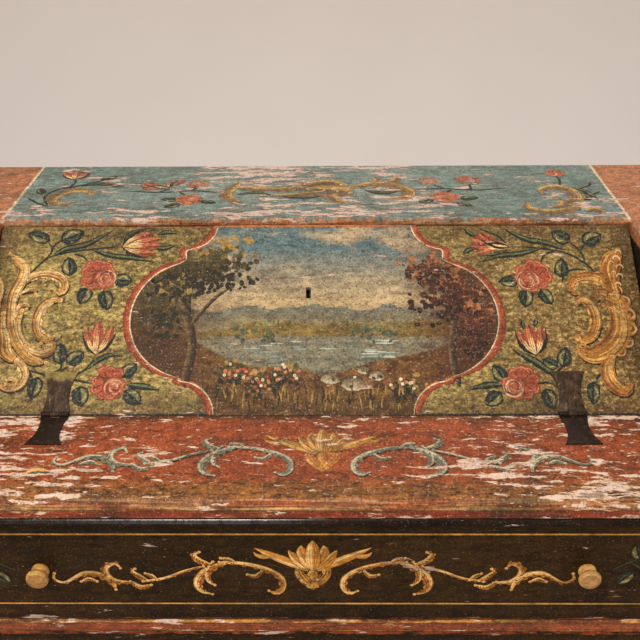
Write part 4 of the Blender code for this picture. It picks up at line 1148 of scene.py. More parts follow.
def paint_lid(sheet):
    rng = random.Random(11)
    tint = colours()
    ochre = blend(blend(tint.gold, tint.gold_light, 0.20), tint.olive_light, 0.16)
    left_tones = blend(tint.gold_light, tint.cream, 0.10), ochre, blend(tint.gold_shade, tint.olive_dark, 0.22)
    light, band = blend(tint.gold, tint.gold_light, 0.40), blend(tint.gold, tint.gold_shade, 0.24)
    dark = blend(tint.gold_shade, tint.gold, 0.08)
    for u, v, width in LID_LOBES:
        spot, out = Vector((u, v)), math.atan2(v - 133, (u - 395) * 1.6)
        sheet.dab(spot, (width * 1.45, width * 1.35), out, shade(tint.brown, 0.6), 1, 1.3)
        sheet.dab(spot, (width * 1.25, width * 1.2), out, band, 2, 1.3)
        sheet.stroke(ring(spot, width * 0.46, out - 1.5, 3.0), width * 0.18, blend(light, tint.cream, 0.2), 5, "blade")
        sheet.stroke(ring(spot, width * 0.28, out - 1.4, 2.8), width * 0.20, dark, 5, "blade")
    sheet.stroke(LID_RIM, 1.0, (dark, blend(band, dark, 0.35), band), 3, "blade", 1.2)
    for points in LID_SCROLLS:
        frill = 9 < max(w for u, v, w in points) < 17
        if points[0][0] < 0:
            scroll(sheet, points, left_tones, swell=0.98, frill=frill)
        else:
            scroll(sheet, points, (light, band, dark), swell=1.08, frill=frill, gleam=0.15)
    flame = blend(tint.gold_shade, tint.gold, 0.25)
    sheet.stroke([(412, 178), (405, 196), (404, 213), (409, 228)], 11, (flame, flame, band), 9, "blade", 0.72)
    for u, v, size in LID_CURLS:
        curl = ring(Vector((u, v)), size * 0.55, 3.6, -4.4)
        sheet.stroke(curl, size * 0.34, blend(light, tint.cream, 0.45), 10, "blade", 0.9)
    for points in LID_STEMS:
        stem(sheet, points)
    for points, width in LID_BLADES:
        blade(sheet, points, width)
    for place, size, heading in LID_LEAVES:
        leaf(sheet, place, size, heading, 0.6 + 0.4 * rng.random())
    for place, size, heart in LID_ROSES:
        rose(sheet, place, size, heart, rng)
    for base, tips, width, cover in LID_TULIPS:
        tulip(sheet, base, tips, width, cover)


# Cartouche with a lake view

def cartouche_half(v):
    """Half the width of the lobed panel at a height on the lid, in millimetres."""
    if v < 48:
        return 184 - math.sqrt(48 ** 2 - v ** 2)
    if v < 54:
        return 184
    if v < 229:
        return 168 + math.sqrt(max(0.0, 89 ** 2 - (v - 141) ** 2))
    if v < 248:
        return 186
    return 185 - math.sqrt(max(0.0, 42 ** 2 - (290 - v) ** 2))


def wave(u, scale, seed):
    return noise.noise(Vector((u / scale, seed, 0.5)))


def view_colour(u, v):
    """The lake view as broad washes: sky, far hills, near hills, water and ground, dark at both sides."""
    cloud = noise.fractal(Vector((u / 95, v / 42, 3.0)), 0.9, 2.1, 5)
    grain = noise.fractal(Vector((u / 16, v / 9, 1.0)), 0.8, 2.0, 4)
    far = 158 + 16 * wave(u, 70, 2.0) + 6 * wave(u, 22, 5.0)
    near = 128 + 20 * wave(u + 40, 105, 8.0) + 5 * wave(u, 26, 6.0)
    shore = 112 + 3 * wave(u, 40, 1.0)
    bank = 66 + 16 * wave(u, 80, 4.0) + 0.0012 * u * u
    value = blend(srgb(206, 176, 126), srgb(84, 122, 124), clamp((v - 160) / 90))
    value = blend(value, srgb(212, 184, 140), clamp(cloud * 1.7) * 0.9)
    if v < far:
        value = blend(srgb(114, 122, 108), srgb(146, 132, 92), clamp((far - v) / 28))
    if v < near:
        value = blend(srgb(110, 96, 46), srgb(158, 130, 68), clamp(0.5 + grain))
    if v < shore:
        value = blend(srgb(142, 138, 110), srgb(92, 104, 90), clamp(0.5 + 0.9 * wave(v, 6, 3.0) + 0.4 * grain))
    if v < bank:
        value = blend(srgb(74, 50, 26), srgb(148, 104, 54), clamp(0.42 + 0.9 * grain))
        value = blend(value, srgb(46, 40, 26), clamp((40 - v) / 40) * 0.6)
    side = clamp((abs(u) - 120 + 26 * grain) / 75)
    dark = srgb(62, 46, 30) if u < 0 else srgb(74, 42, 28)
    return shade(blend(blend(value, dark, side * 0.92), srgb(136, 78, 26), 0.18), 0.90)


def open_keyhole(wash):
    """Cuts the painted sheet along the keyhole's box and takes out what lies over it."""
    for corner in (KEYHOLE_LOW, KEYHOLE_HIGH):
        for way in ((1, 0, 0), (0, 1, 0)):
            near = [face for face in wash.faces if (face.calc_center_median() - KEYHOLE).xy.length < 20]
            edges = dict.fromkeys(edge for face in near for edge in face.edges)
            verts = dict.fromkeys(vert for face in near for vert in face.verts)
            bmesh.ops.bisect_plane(wash, geom=[*verts, *edges, *near], plane_co=corner, plane_no=way)
    spots = [(face, face.calc_center_median()) for face in wash.faces]
    inside = [face for face, at in spots if all(KEYHOLE_LOW[k] < at[k] < KEYHOLE_HIGH[k] for k in (0, 1))]
    bmesh.ops.delete(wash, geom=inside, context="FACES")


def wash_view(sheet):
    """The lake view's washes: one sheet as wide as the panel at every height, open over the keyhole."""
    rows, columns = 116, 150
    wash = bmesh.new()
    paint, keep = sheet.layers(wash)
    bands = [[] for _ in range(rows + 1)]
    for vert in bmesh.ops.create_grid(wash, x_segments=columns, y_segments=rows, size=0.5)["verts"]:
        bands[round((vert.co.y + 0.5) * rows)].append(vert)
    lift = sizes().lift / MM
    for i, band in enumerate(bands):
        v = 1.0 + 284.5 * i / rows
        level = Matrix.Translation((0, v, lift)) @ Matrix.Diagonal((2 * cartouche_half(v), 0, 1, 1))
        bmesh.ops.transform(wash, matrix=level, verts=band)
        for vert in band:
            vert[paint] = (*view_colour(vert.co.x, vert.co.y), 1.0)
            vert[keep] = 1.0
    open_keyhole(wash)
    sheet.marks.append((lift, wash))


MOSS = srgb(44, 38, 24), srgb(98, 82, 40), srgb(158, 124, 64)
RUSSET = srgb(48, 28, 20), srgb(112, 58, 36), srgb(168, 104, 60)
BARK = srgb(40, 30, 20), srgb(74, 54, 34), srgb(124, 94, 58)
DISTANT = srgb(74, 84, 62), srgb(104, 108, 74), srgb(140, 134, 88)
STONE = srgb(70, 58, 42), srgb(166, 142, 104), srgb(220, 200, 164)
# Boughs with their widths, and clumps of leaves: middle, spread, count and size
TREES = (
    (MOSS, (
        (((-172, 40), (-164, 100), (-176, 160), (-168, 220)), 11), (((-168, 130), (-140, 168), (-118, 186)), 5),
        (((-172, 150), (-196, 190)), 5),
    ), (((-182, 216), (34, 22), 330, 10), ((-132, 226), (24, 20), 190, 9), ((-212, 160), (20, 24), 150, 9))),
    (RUSSET, (
        (((192, 40), (186, 90), (194, 150)), 9), (((188, 105), (212, 140)), 5),
    ), (((192, 178), (28, 24), 280, 9), ((222, 130), (16, 26), 140, 9), ((160, 214), (20, 14), 100, 8))),
)


def paint_view(sheet):
    """Fills the cartouche, then adds trees, rocks, flowers and grass with single touches."""
    wash_view(sheet)
    rng = random.Random(5)
    tint = colours()

    def clump(middle, spread, count, tones, size):
        for k in range(count):
            spot = Vector((rng.gauss(middle[0], spread[0]), rng.gauss(middle[1], spread[1])))
            strayed = max(abs(spot[axis] - middle[axis]) / spread[axis] for axis in (0, 1)) > 2.2
            if strayed or spot.y < 8 or spot.y > 276 or abs(spot.x) > cartouche_half(spot.y) - 10:
                continue
            lit = clamp(0.45 + 0.4 * (spot.y - middle[1]) / spread[1] + rng.uniform(-0.35, 0.3))
            value = blend(tones[0], tones[1], lit) if lit < 0.75 else blend(tones[1], tones[2], (lit - 0.75) * 4)
            long = size * rng.uniform(0.6, 1.3)
            sheet.dab(spot, (long, long * 0.6), rng.uniform(0, math.pi), value, 1 + k % 4)

    for spot in (-96, -72, -58, 62, 78, 104):
        clump((spot, 122), (7, 8), 14, DISTANT, 7)
    for tones, boughs, crowns in TREES:
        for points, width in boughs:
            sheet.stroke(points, width, BARK, 2)
        for middle, spread, count, size in crowns:
            clump(middle, spread, count, tones, size)
    for (u, v), size in (((22, 50), 26), ((52, 42), 32), ((84, 54), 22), ((66, 62), 16)):
        rock = [(u - size / 2, v), (u, v + size * 0.12), (u + size / 2, v - 2)]
        sheet.stroke(rock, size * 0.62, STONE[::-1], 3, "oval")
        clump((u, v + size * 0.1), (size * 0.22, size * 0.12), 12, STONE, 6)
    for middle in ((-70, 48), (-38, 58), (-102, 60), (118, 40)):
        clump(middle, (13, 9), 46, MOSS, 9)
        for k in range(16):
            spot = (rng.gauss(middle[0], 11), rng.gauss(middle[1] + 3, 7))
            value = rng.choice((tint.rose, tint.rose_light, tint.cream))
            sheet.dab(spot, (5, 4), rng.uniform(0, math.pi), value, 6)
    for k in range(110):
        u, v, lean = rng.uniform(-150, 150), rng.uniform(12, 40), rng.uniform(-5, 5)
        sheet.stroke([(u, v - 8), (u + lean * 0.4, v), (u + lean, v + 9)], 1.8, rng.choice(MOSS), 4, "blade")
    for k in range(26):
        spot, long = (rng.uniform(-90, 110), rng.uniform(78, 108)), rng.uniform(14, 34)
        sheet.dab(spot, (long, 1.8), 0.0, blend(srgb(196, 196, 172), srgb(110, 132, 126), rng.random()), 1, 0.8)


# Heights at which the panel's outline turns, in the parts between its corners
OUTLINE = (
    (286, 282, 274, 264, 255, 249), (249, 246, 238, 231), (231, 227, 215, 198, 175, 150, 125, 100, 80, 66, 57, 53),
    (53, 49, 46), (46, 42, 34, 24, 12, 1),
)


def paint_border(sheet):
    tint = colours()
    red, pale = blend(tint.rose, tint.salmon_light, 0.5), blend(tint.rose_light, tint.salmon_light, 0.4)
    tones = pale, red, tint.rose_shade
    for side in (1, -1):
        for heights in OUTLINE:
            part = [(side * cartouche_half(v), v) for v in heights]
            sheet.stroke(part, 8.5, tones[::side], 8, fine=3.5)
            inner = [(u - side * 5.2, v) for u, v in part]
            sheet.stroke(inner, 1.6, tint.cream, 10, cover=0.66 if side < 0 else 0.50, fine=3.5)
    sheet.stroke([(-143, 285.5), (0, 285.5), (143, 285.5)], 3.5, tint.orange, 9, cover=0.8)


# Top and ledge ornament: points in millimetres across, and back from the top's edge or the lid's foot

TOP_SCROLLS = (
    ((-342, 98, 6), (-350, 110, 10), (-368, 115, 12), (-388, 102, 13), (-396, 82, 13), (-392, 64, 11), (-374, 58, 8),
     (-362, 68, 5)),
    ((-120, 150, 5), (-124, 128, 10), (-134, 104, 13), (-130, 82, 12), (-114, 68, 6)),
    ((-126, 124, 6), (-98, 122, 11), (-60, 118, 12), (-18, 124, 10)),
    ((-66, 92, 4), (-30, 96, 10), (6, 104, 14), (30, 118, 10)),
    ((-14, 138, 10), (6, 146, 18), (26, 146, 20), (44, 134, 12)),
    ((-8, 118, 12), (16, 116, 30), (40, 112, 24), (54, 100, 8)),
    ((30, 108, 12), (26, 88, 14), (34, 70, 9), (48, 60, 4)),
    ((52, 118, 8), (78, 136, 14), (108, 140, 16), (134, 124, 15), (146, 100, 14), (134, 78, 11), (116, 80, 6)),
    ((112, 146, 6), (124, 154, 10), (128, 170, 5)), ((90, 144, 5), (96, 156, 8), (92, 168, 4)),
    ((346, 96, 5), (348, 114, 9), (370, 126, 12), (390, 112, 14), (396, 90, 14), (390, 66, 12), (376, 52, 6)),
    ((316, 56, 6), (314, 40, 10), (330, 28, 13), (352, 27, 14), (374, 34, 12), (388, 46, 8)),
    ((352, 44, 5), (366, 50, 9), (370, 66, 8), (362, 74, 4)), ((398, 30, 6), (410, 34, 13), (420, 26, 6)),
)
TOP_STEMS = (
    ((-396, 48), (-412, 92), (-392, 126), (-346, 138), (-296, 128)), ((-384, 132), (-380, 152), (-388, 166)),
    ((-392, 120), (-350, 150), (-318, 170)), ((-436, 84), (-414, 62), (-396, 50)),
    ((-290, 112), (-238, 106), (-188, 112), (-140, 102)), ((-240, 108), (-226, 120)), ((-192, 112), (-182, 128)),
    ((-210, 108), (-196, 92)), ((142, 112), (196, 118), (246, 112), (296, 120)), ((200, 118), (184, 134)),
    ((240, 114), (240, 136)), ((210, 114), (200, 98)), ((396, 104), (418, 92), (436, 104)),
    ((400, 112), (424, 128), (430, 146)), ((378, 124), (384, 150), (384, 170)),
)
TOP_BLADES = (
    (((-402, 208), (-392, 198), (-372, 196)), 9), (((-360, 140), (-332, 146), (-300, 132)), 9),
    (((-60, 96), (-20, 84), (26, 98)), 12), (((76, 112), (104, 100), (132, 112)), 12),
    (((-120, 96), (-90, 104), (-66, 92)), 9), (((400, 118), (416, 100), (424, 74)), 10),
)
TOP_LEAVES = (
    ((-218, 76), (30, 18), 170), ((-212, 52), (28, 17), 210), ((-160, 66), (26, 16), -20), ((232, 78), (30, 18), 10),
    ((222, 54), (26, 16), -30), ((166, 68), (26, 16), 190), ((410, 80), (28, 16), 60), ((-330, 168), (30, 14), 30),
    ((-424, 112), (28, 14), 110),
)
TOP_ROSES = (
    ((-190, 76), (42, 44), (-184, 70), 0.76), ((196, 82), (44, 44), (190, 76), 0.76),
    ((-184, 142), (38, 34), (-180, 138), 0.52), ((178, 150), (36, 34), (174, 146), 0.5),
    ((242, 156), (44, 36), (238, 150), 0.52), ((384, 184), (34, 32), (380, 180), 0.66),
)
TOP_TULIPS = (
    ((-386, 164), ((-408, 196), (-390, 202), (-368, 196)), 0.66),
    ((-228, 124), ((-268, 150), (-276, 136), (-270, 122)), 0.7),
    ((-226, 128), ((-206, 158), (-222, 160), (-236, 154)), 0.58),
)
ACANTHUS = (
    ((56, -114, 3), (46, -118, 6), (38, -108, 7), (40, -92, 7), (56, -78, 7), (84, -68, 6), (116, -65, 4)),
    ((104, -66, 3), (122, -72, 7), (138, -84, 10), (146, -100, 9), (142, -114, 6), (128, -120, 3)),
    ((124, -64, 3), (132, -80, 6), (132, -96, 5), (124, -104, 3)),
    ((128, -68, 3), (140, -62, 7), (147, -52, 5), (140, -48, 3)), ((96, -66, 3), (104, -60, 6), (114, -58, 3)),
    ((136, -72, 3), (160, -80, 4), (186, -92, 4), (214, -98, 3)), ((204, -104, 3), (218, -107, 6), (230, -98, 4)),
    ((208, -96, 3), (216, -90, 6), (226, -80, 4), (222, -76, 3)), ((196, -95, 3), (202, -88, 5), (210, -84, 3)),
    ((226, -100, 3), (246, -98, 6), (258, -88, 8), (258, -74, 7), (246, -67, 5), (240, -75, 3)),
    ((250, -112, 4), (254, -98, 7), (268, -86, 8), (286, -84, 7), (300, -92, 5), (314, -100, 4), (326, -94, 4),
     (324, -84, 3)),
    ((272, -98, 3), (282, -93, 5), (292, -98, 3)), ((64, -80, 3), (72, -88, 5), (82, -86, 3)),
)


def paint_top(sheet):
    tint = colours()
    rng = random.Random(21)
    light, dark = blend(tint.gold, tint.olive_light, 0.55), blend(tint.gold_shade, tint.teal_dark, 0.45)
    for points in TOP_SCROLLS:
        scroll(sheet, points, (light, blend(tint.gold, tint.olive_dark, 0.58), dark), 0.70, 1.2, False, True)
    for points in TOP_STEMS:
        stem(sheet, points, 4.0)
    for points, width in TOP_BLADES:
        blade(sheet, points, width)
    for place, size, heading in TOP_LEAVES:
        leaf(sheet, place, size, heading, 0.5)
    faded = [blend(paint, tint.orange, 0.30) for paint in (tint.rose, tint.rose_light, tint.rose_shade)]
    for place, size, heart, cover in TOP_ROSES:
        rose(sheet, place, size, heart, rng, cover, faded)
    for base, tips, cover in TOP_TULIPS:
        tulip(sheet, base, tips, 17, cover)


def acanthus(sheet, side, cover=0.95, tones=None):
    """One arm of leaf scrolls, drawn to the right and turned over for the left."""
    tint = colours()
    grey = blend(tint.cream, tint.acanthus, 0.35), tint.acanthus, shade(tint.acanthus, 0.42)
    for points in ACANTHUS:
        path = [(side * x, y, w) for x, y, w in points]
        scroll(sheet, path[::side], tones or grey, cover, leafy=True)


# Lobes at each side of the palmette: path, width, coat, outline, ribs and cover
RIBS = (-0.26, 0.05, 0.28)
PALMETTE = (
    (((3, -104), (11, -94), (17, -82), (16, -68)), 13, 3, "leaf", RIBS, 0.62),
    (((6, -80), (28, -66), (50, -54), (72, -41)), 10, 4, "blade", (0.2,), 1.0),
    (((50, -55), (60, -56), (68, -54), (73, -48)), 6, 5, "blade", (), 1.0),
    (((5, -78), (17, -64), (24, -55), (30, -45)), 12, 6, "blade", RIBS, 1.0),
    (((2, -76), (9, -60), (14, -48), (14, -37)), 15, 7, "leaf", RIBS, 1.0),
)


def palmette(sheet, tones, cover=0.95):
    """A gilt fleuron: three round lobes between two pointed leaves and two long wings, over a broad foot."""
    light, gold, dark = tones
    cream = blend(light, colours().cream, 0.35)
    body = blend(gold, dark, 0.25), gold, blend(gold, light, 0.6)

    def lobe(path, width, coat, profile, ribs, keep):
        """One leaf, shaded on its left, with a few ribs that run into its tip."""
        path = [Vector(p) for p in path]
        sheet.stroke(path, width * 1.16, blend(gold, dark, 0.8), coat, profile, cover * keep)
        sheet.stroke(path, width, body, coat + 1, profile, cover * keep)
        way = (path[-1] - path[0]).normalized()
        for k in ribs:
            aside = way.orthogonal() * width * k
            value = cream if k > 0.1 else blend(gold, dark, 0.6)
            rib = [path[0] + aside * 0.4] + [p + aside for p in path[1:-1]] + [path[-1] + aside * 0.3]
            sheet.stroke(rib, 1.7, value, coat + 2, "blade", 0.8 * cover * keep)

    lobe(((0, -112), (0, -100), (0, -86), (0, -70)), 24, 2, "drop", (), 0.55)
    for side in (-1, 1):
        for path, *shape in PALMETTE:
            lobe([(side * x, y) for x, y in path], *shape)
    lobe(((0, -78), (0, -60), (0, -45), (0, -29)), 18, 9, "leaf", (-0.3, -0.12, 0.12, 0.3), 1.0)


def paint_ledge(sheet):
    tint = colours()
    light, dark = blend(tint.gold, tint.gold_light, 0.35), blend(tint.gold_shade, tint.olive_dark, 0.20)
    sheet.offset = Matrix.Translation((12, 0, 0))
    palmette(sheet, (light, blend(tint.gold, tint.olive_dark, 0.30), dark), 0.80)
    for side in (-1, 1):
        acanthus(sheet, side, 0.64)
    sheet.offset = Matrix.Identity(4)
    blade(sheet, [(-340, -122), (-322, -112), (-300, -116)], 9)
    tones = tint.gold, tint.gold_light, tint.gold_shade
    sheet.stroke([(-344, -116), (-330, -108), (-312, -112)], 8, tones, 3, "blade", 0.7)


def front_spray(sheet, side, rng, tones=None):
    """Rose, bud and leaves at one end of a drawer front, about the middle of the mark."""
    def turned(points):
        return [(side * x, y) for x, y in points]

    for points in (
        ((0, 0), (40, 22), (92, 30)), ((20, 12), (52, -8), (104, -20)), ((60, 26), (84, 44)), ((46, -4), (60, -26)),
    ):
        stem(sheet, turned(points), 3.2)
    for points in (((30, 16), (70, 38), (118, 46)), ((40, -2), (84, -32), (128, -36))):
        blade(sheet, turned(points), 9)
    for x, y, long, wide, heading in (
        (88, 52, 30, 20, 60), (58, -36, 30, 20, 250), (26, 30, 28, 18, 110), (118, 8, 28, 18, 10),
        (18, -14, 28, 18, 230),
    ):
        leaf(sheet, (side * x, y), (long, wide), heading if side > 0 else 180 - heading)
    rose(sheet, (side * 64, 8), (50, 48), (side * 60, 4), rng, tones=tones)
    tulip(sheet, (side * 106, 30), turned([(146, 50), (152, 34), (146, 18)]), 16)


def frame_line(sheet, half_width, half_height, inset, width):
    u, v = half_width - inset, half_height - inset
    corners = (-u, -v), (u, -v), (u, v), (-u, v)
    for start, end in zip(corners, corners[1:] + corners[:1]):
        middle = ((start[0] + end[0]) / 2, (start[1] + end[1]) / 2)
        sheet.stroke([start, middle, end], width, gilt_tones(), 2, cover=0.9)


def paint_front(sheet, half_width, half_height, seed):
    """A long drawer front: gilt palmette and leaf scrolls between two sprays, inside a line."""
    frame_line(sheet, half_width, half_height, 30, 2.4)
    rng = random.Random(seed)
    sheet.offset = Matrix.Translation((0, 78, 0))
    palmette(sheet, gilt_tones(), 0.9)
    for side in (-1, 1):
        acanthus(sheet, side, 0.9, gilt_tones())
    for side in (-1, 1):
        sheet.offset = Matrix.Translation((side * 372, 0, 0))
        front_spray(sheet, side, rng)


def paint_tower_front(sheet, half_width, half_height, side, seed):
    """A tower drawer's front: a rose over a tulip, inside a line."""
    frame_line(sheet, half_width, half_height, 9, 2.0)
    for up in (-1, 1):
        stem(sheet, [(0, up * 16), (side * up * 10, up * 32), (0, up * 48)])
        leaf(sheet, (side * up * 22, up * 36), (26, 17), 40 if up * side > 0 else 140)
        leaf(sheet, (-side * up * 20, up * 46), (26, 17), 120 if up * side > 0 else 60)
    rose(sheet, (-side * 2, 44), (34, 32), (0, 40), random.Random(seed))
    tulip(sheet, (0, -34), [(-16, -62), (0, -66), (16, -62)], 14)


def paint_upper_side(sheet, half_width, half_height):
    """Outer side of the upper case: two sprays inside a line."""
    frame_line(sheet, half_width, half_height, 16, 3.0)
    for flip in (-1, 1):
        sheet.offset = Matrix.Translation((flip * 6, 0, 0)) @ Matrix.Diagonal((0.9, 0.9, 1, 1))
        front_spray(sheet, flip, random.Random(70))


def paint_case_side(sheet, half_width, half_height):
    """Side of the lower case: leaf scrolls above and below two pale sprays, inside a line."""
    tint = colours()
    frame_line(sheet, half_width, half_height, 34, 5.0)
    rng = random.Random(60)
    for up in (1, -1):
        sheet.offset = Matrix.Translation((0, up * 222, 0)) @ Matrix.Diagonal((0.62, up * 0.62, 1, 1))
        palmette(sheet, gilt_tones())
        for flip in (-1, 1):
            acanthus(sheet, flip)
    pale = blend(tint.rose_light, tint.cream, 0.45), tint.cream, tint.rose
    for flip in (-1, 1):
        sheet.offset = Matrix.Translation((flip * 18, 0, 0))
        front_spray(sheet, flip, rng, pale)


def painted(name, paint, place, body, slot, finish, *details):
    """A sheet of brush marks, made by one of the functions above and laid on its face."""
    sheet = PaintSheet()
    paint(sheet, *details)
    sheet.land(name, place, body, finish)


def face_place(node, side=0):
    """Place of a board's front or side face, in millimetres from its middle, and half its width and height."""
    low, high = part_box(node)
    x, y, z = ((a + b) / 2 for a, b in zip(low, high))
    if side:
        rows, wide = ((0, 0, side * MM, high.x if side > 0 else low.x), (side * MM, 0, 0, y)), high.y - low.y
    else:
        rows, wide = ((MM, 0, 0, x), (0, 0, -MM, low.y)), high.x - low.x
    return Matrix((*rows, (0, MM, 0, z), (0, 0, 0, 1))), wide / 2 / MM, (high.z - low.z) / 2 / MM


def finish_drawer(drawer, inner, paint, *details):
    """A drawer of bare wood behind a dressed and painted front."""
    node = f"{drawer}_front"
    dressed(node, "drawer")
    finish_nodes(wood_material(), *(f"{drawer}_{part}" for part in inner))
    place, *halves = face_place(node)
    painted(f"{drawer}_ornament", paint, place, body_of_node(node), "olive_paint", "drawer", *halves, *details)


def painted_side(name, node, side, finish, slot, paint):
    """A dressed side board with ornament on its outer face."""
    dressed(node, finish)
    place, *halves = face_place(node, side)
    painted(name, paint, place, "case", slot, finish, *halves)


# Operators

SIDES = {"left": -1, "right": 1}
LONG_DRAWERS = ("top", "middle", "bottom")
LEAF_FACE = 1.9  # height of a hinge leaf's face over its board, in millimetres


class CHEST_OT_top(bpy.types.Operator):
    """Dress the top board and paint its field"""

    bl_idname = "chest.top"
    bl_label = "Top board"

    def execute(self, context):
        dressed("top_board", "top", 0.0008)
        painted("top_ornament", paint_top, TOP_PLACE, "case", "teal_paint", "top")
        return {"FINISHED"}


class CHEST_OT_lid(bpy.types.Operator):
    """Dress the lid and paint its sprays, scrolls and lobed panel"""

    bl_idname = "chest.lid"
    bl_label = "Lid"

    def execute(self, context):
        dressed("lid_panel", "lid", 0.0006)
        for name, paint, slot in (
            ("lid_flowers", paint_lid, "olive_paint"), ("lid_lake_view", paint_view, "olive_paint"),
            ("lid_panel_border", paint_border, "salmon_paint"),
        ):
            painted(name, paint, LID_PLACE, "lid", slot, "lid")
        return {"FINISHED"}


class CHEST_OT_ledge(bpy.types.Operator):
    """Mould the ledge and the bead under it, and paint the leaf scrolls"""

    bl_idname = "chest.ledge"
    bl_label = "Ledge and bead"

    def execute(self, context):
        self.board()
        self.bead()
        painted("ledge_ornament", paint_ledge, LEDGE_PLACE, "case", "salmon_paint", "ledge")
        return {"FINISHED"}

    def board(self):
        """Builds the board upwards, level by level, from (inset, height) steps."""
        low, high, cut, ovolo = LEDGE_LOW, LEDGE_HIGH, sizes().chamfer, sizes().ovolo
        steps = [(cut, low.z), (cut * 0.4, low.z + cut * 0.4), (0.0, low.z + cut)]
        steps += arc((ovolo, high.z - ovolo), (ovolo, ovolo), 180, 90, 10)

        def level(inset, z):
            wide, deep = 2 * (high.x - inset), high.y - low.y - inset
            return Matrix.Translation((0, high.y - deep / 2, z)) @ Matrix.Diagonal((wide, deep, 1, 1))

        bm = bmesh.new()
        bmesh.ops.create_grid(bm, x_segments=1, y_segments=1, size=0.5)
        bmesh.ops.transform(bm, matrix=level(*steps[0]), verts=bm.verts)
        top = list(bm.faces)
        for before, after in zip(steps, steps[1:]):
            grown = bmesh.ops.extrude_face_region(bm, geom=top, use_keep_orig=before is steps[0])["geom"]
            top, verts = of_kind(bmesh.types.BMFace, grown), of_kind(bmesh.types.BMVert, grown)
            bmesh.ops.transform(bm, matrix=level(*after) @ level(*before).inverted(), verts=verts)
        bmesh.ops.recalc_face_normals(bm, faces=bm.faces)
        even_shading(add_piece(
            "ledge_board_dressed", bm, paint_material("ledge"), "case", ("ledge_board",), 30.0,
        ))

    def bead(self):
        low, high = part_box("ledge_bead")
        case_low, case_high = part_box("right_corner_post")
        radius, fit = (high.z - low.z) / 2, sizes().fit
        nose = high.x - case_high.x - radius
        profile = [(fit, low.z)]
        profile += arc((nose, (low.z + high.z) / 2), (radius, radius), -90, 90, 14)
        profile += [(fit, high.z)]
        bm = swept_moulding(profile, case_high.x, case_low.y, high.y)
        all_marked(bm, 0.5)
        add_piece("ledge_bead_dressed", bm, paint_material("bead"), "case", ("ledge_bead",), 50.0)


class CHEST_OT_hinges(bpy.types.Operator):
    """Dress the butterfly hinges and drive their nails"""

    bl_idname = "chest.hinges"
    bl_label = "Hinges and lock"

    def execute(self, context):
        iron = iron_material()
        finish_nodes(iron, "left_hinge_pin", "right_hinge_pin", "lock_case", "lock_bolt")
        for word in SIDES:
            for part, metal in (("ledge_leaf", iron), ("lid_leaf", iron_material(True))):
                node = f"{word}_hinge_{part}"
                bm = eased_copy(node, 0.0003, 50)
                all_marked(bm, 0.6)
                add_piece(f"{node}_dressed", bm, metal, body_of_node(node), (node,), 35.0)
                self.nails(node, metal, part == "ledge_leaf")
        return {"FINISHED"}

    def nails(self, node, iron, flat):
        """Three low domed nail heads on one leaf, clear of the other leaf's when the lid is open."""
        low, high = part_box(node)
        middle = (low.x + high.x) / 2 / MM
        squash = Matrix.Diagonal((1, 1, 0.42, 1))
        bm = bmesh.new()
        for u, v in ((-13, 50), (13, 50), (0, 22)) if flat else ((0, 52), (-8, 31), (8, 31)):
            ball = bmesh.ops.create_uvsphere(bm, u_segments=14, v_segments=8, radius=sizes().nail)["verts"]
            if flat:
                place = Matrix.Translation((middle * MM + u * MM, LID_FOOT_Y - v * MM, LEDGE_HIGH.z + LEAF_FACE * MM))
            else:
                place = LID_PLACE @ Matrix.Translation((middle + u, v, LEAF_FACE)) @ Matrix.Scale(1 / MM, 4)
            bmesh.ops.transform(bm, matrix=place @ squash, verts=ball)
        all_marked(bm, 0.8)
        add_piece(f"{node}_nails", bm, iron, body_of_node(node), angle=60.0)


class CHEST_OT_desk(bpy.types.Operator):
    """Finish the upper case, its partitions and the pigeonholes"""

    bl_idname = "chest.desk"
    bl_label = "Desk case"

    def execute(self, context):
        for word, side in SIDES.items():
            node = f"{word}_upper_side"
            painted_side(f"{node}_ornament", node, side, "olive_deep", "olive_paint", paint_upper_side)
            # the partitions take the shadow finish: near-black paint, a painted shade on the towers' inner faces
            dressed(f"{word}_partition", "shadow")
        finish_nodes(wood_material(), "upper_back", "lid_rest_rail", "pigeonhole_nest")
        return {"FINISHED"}


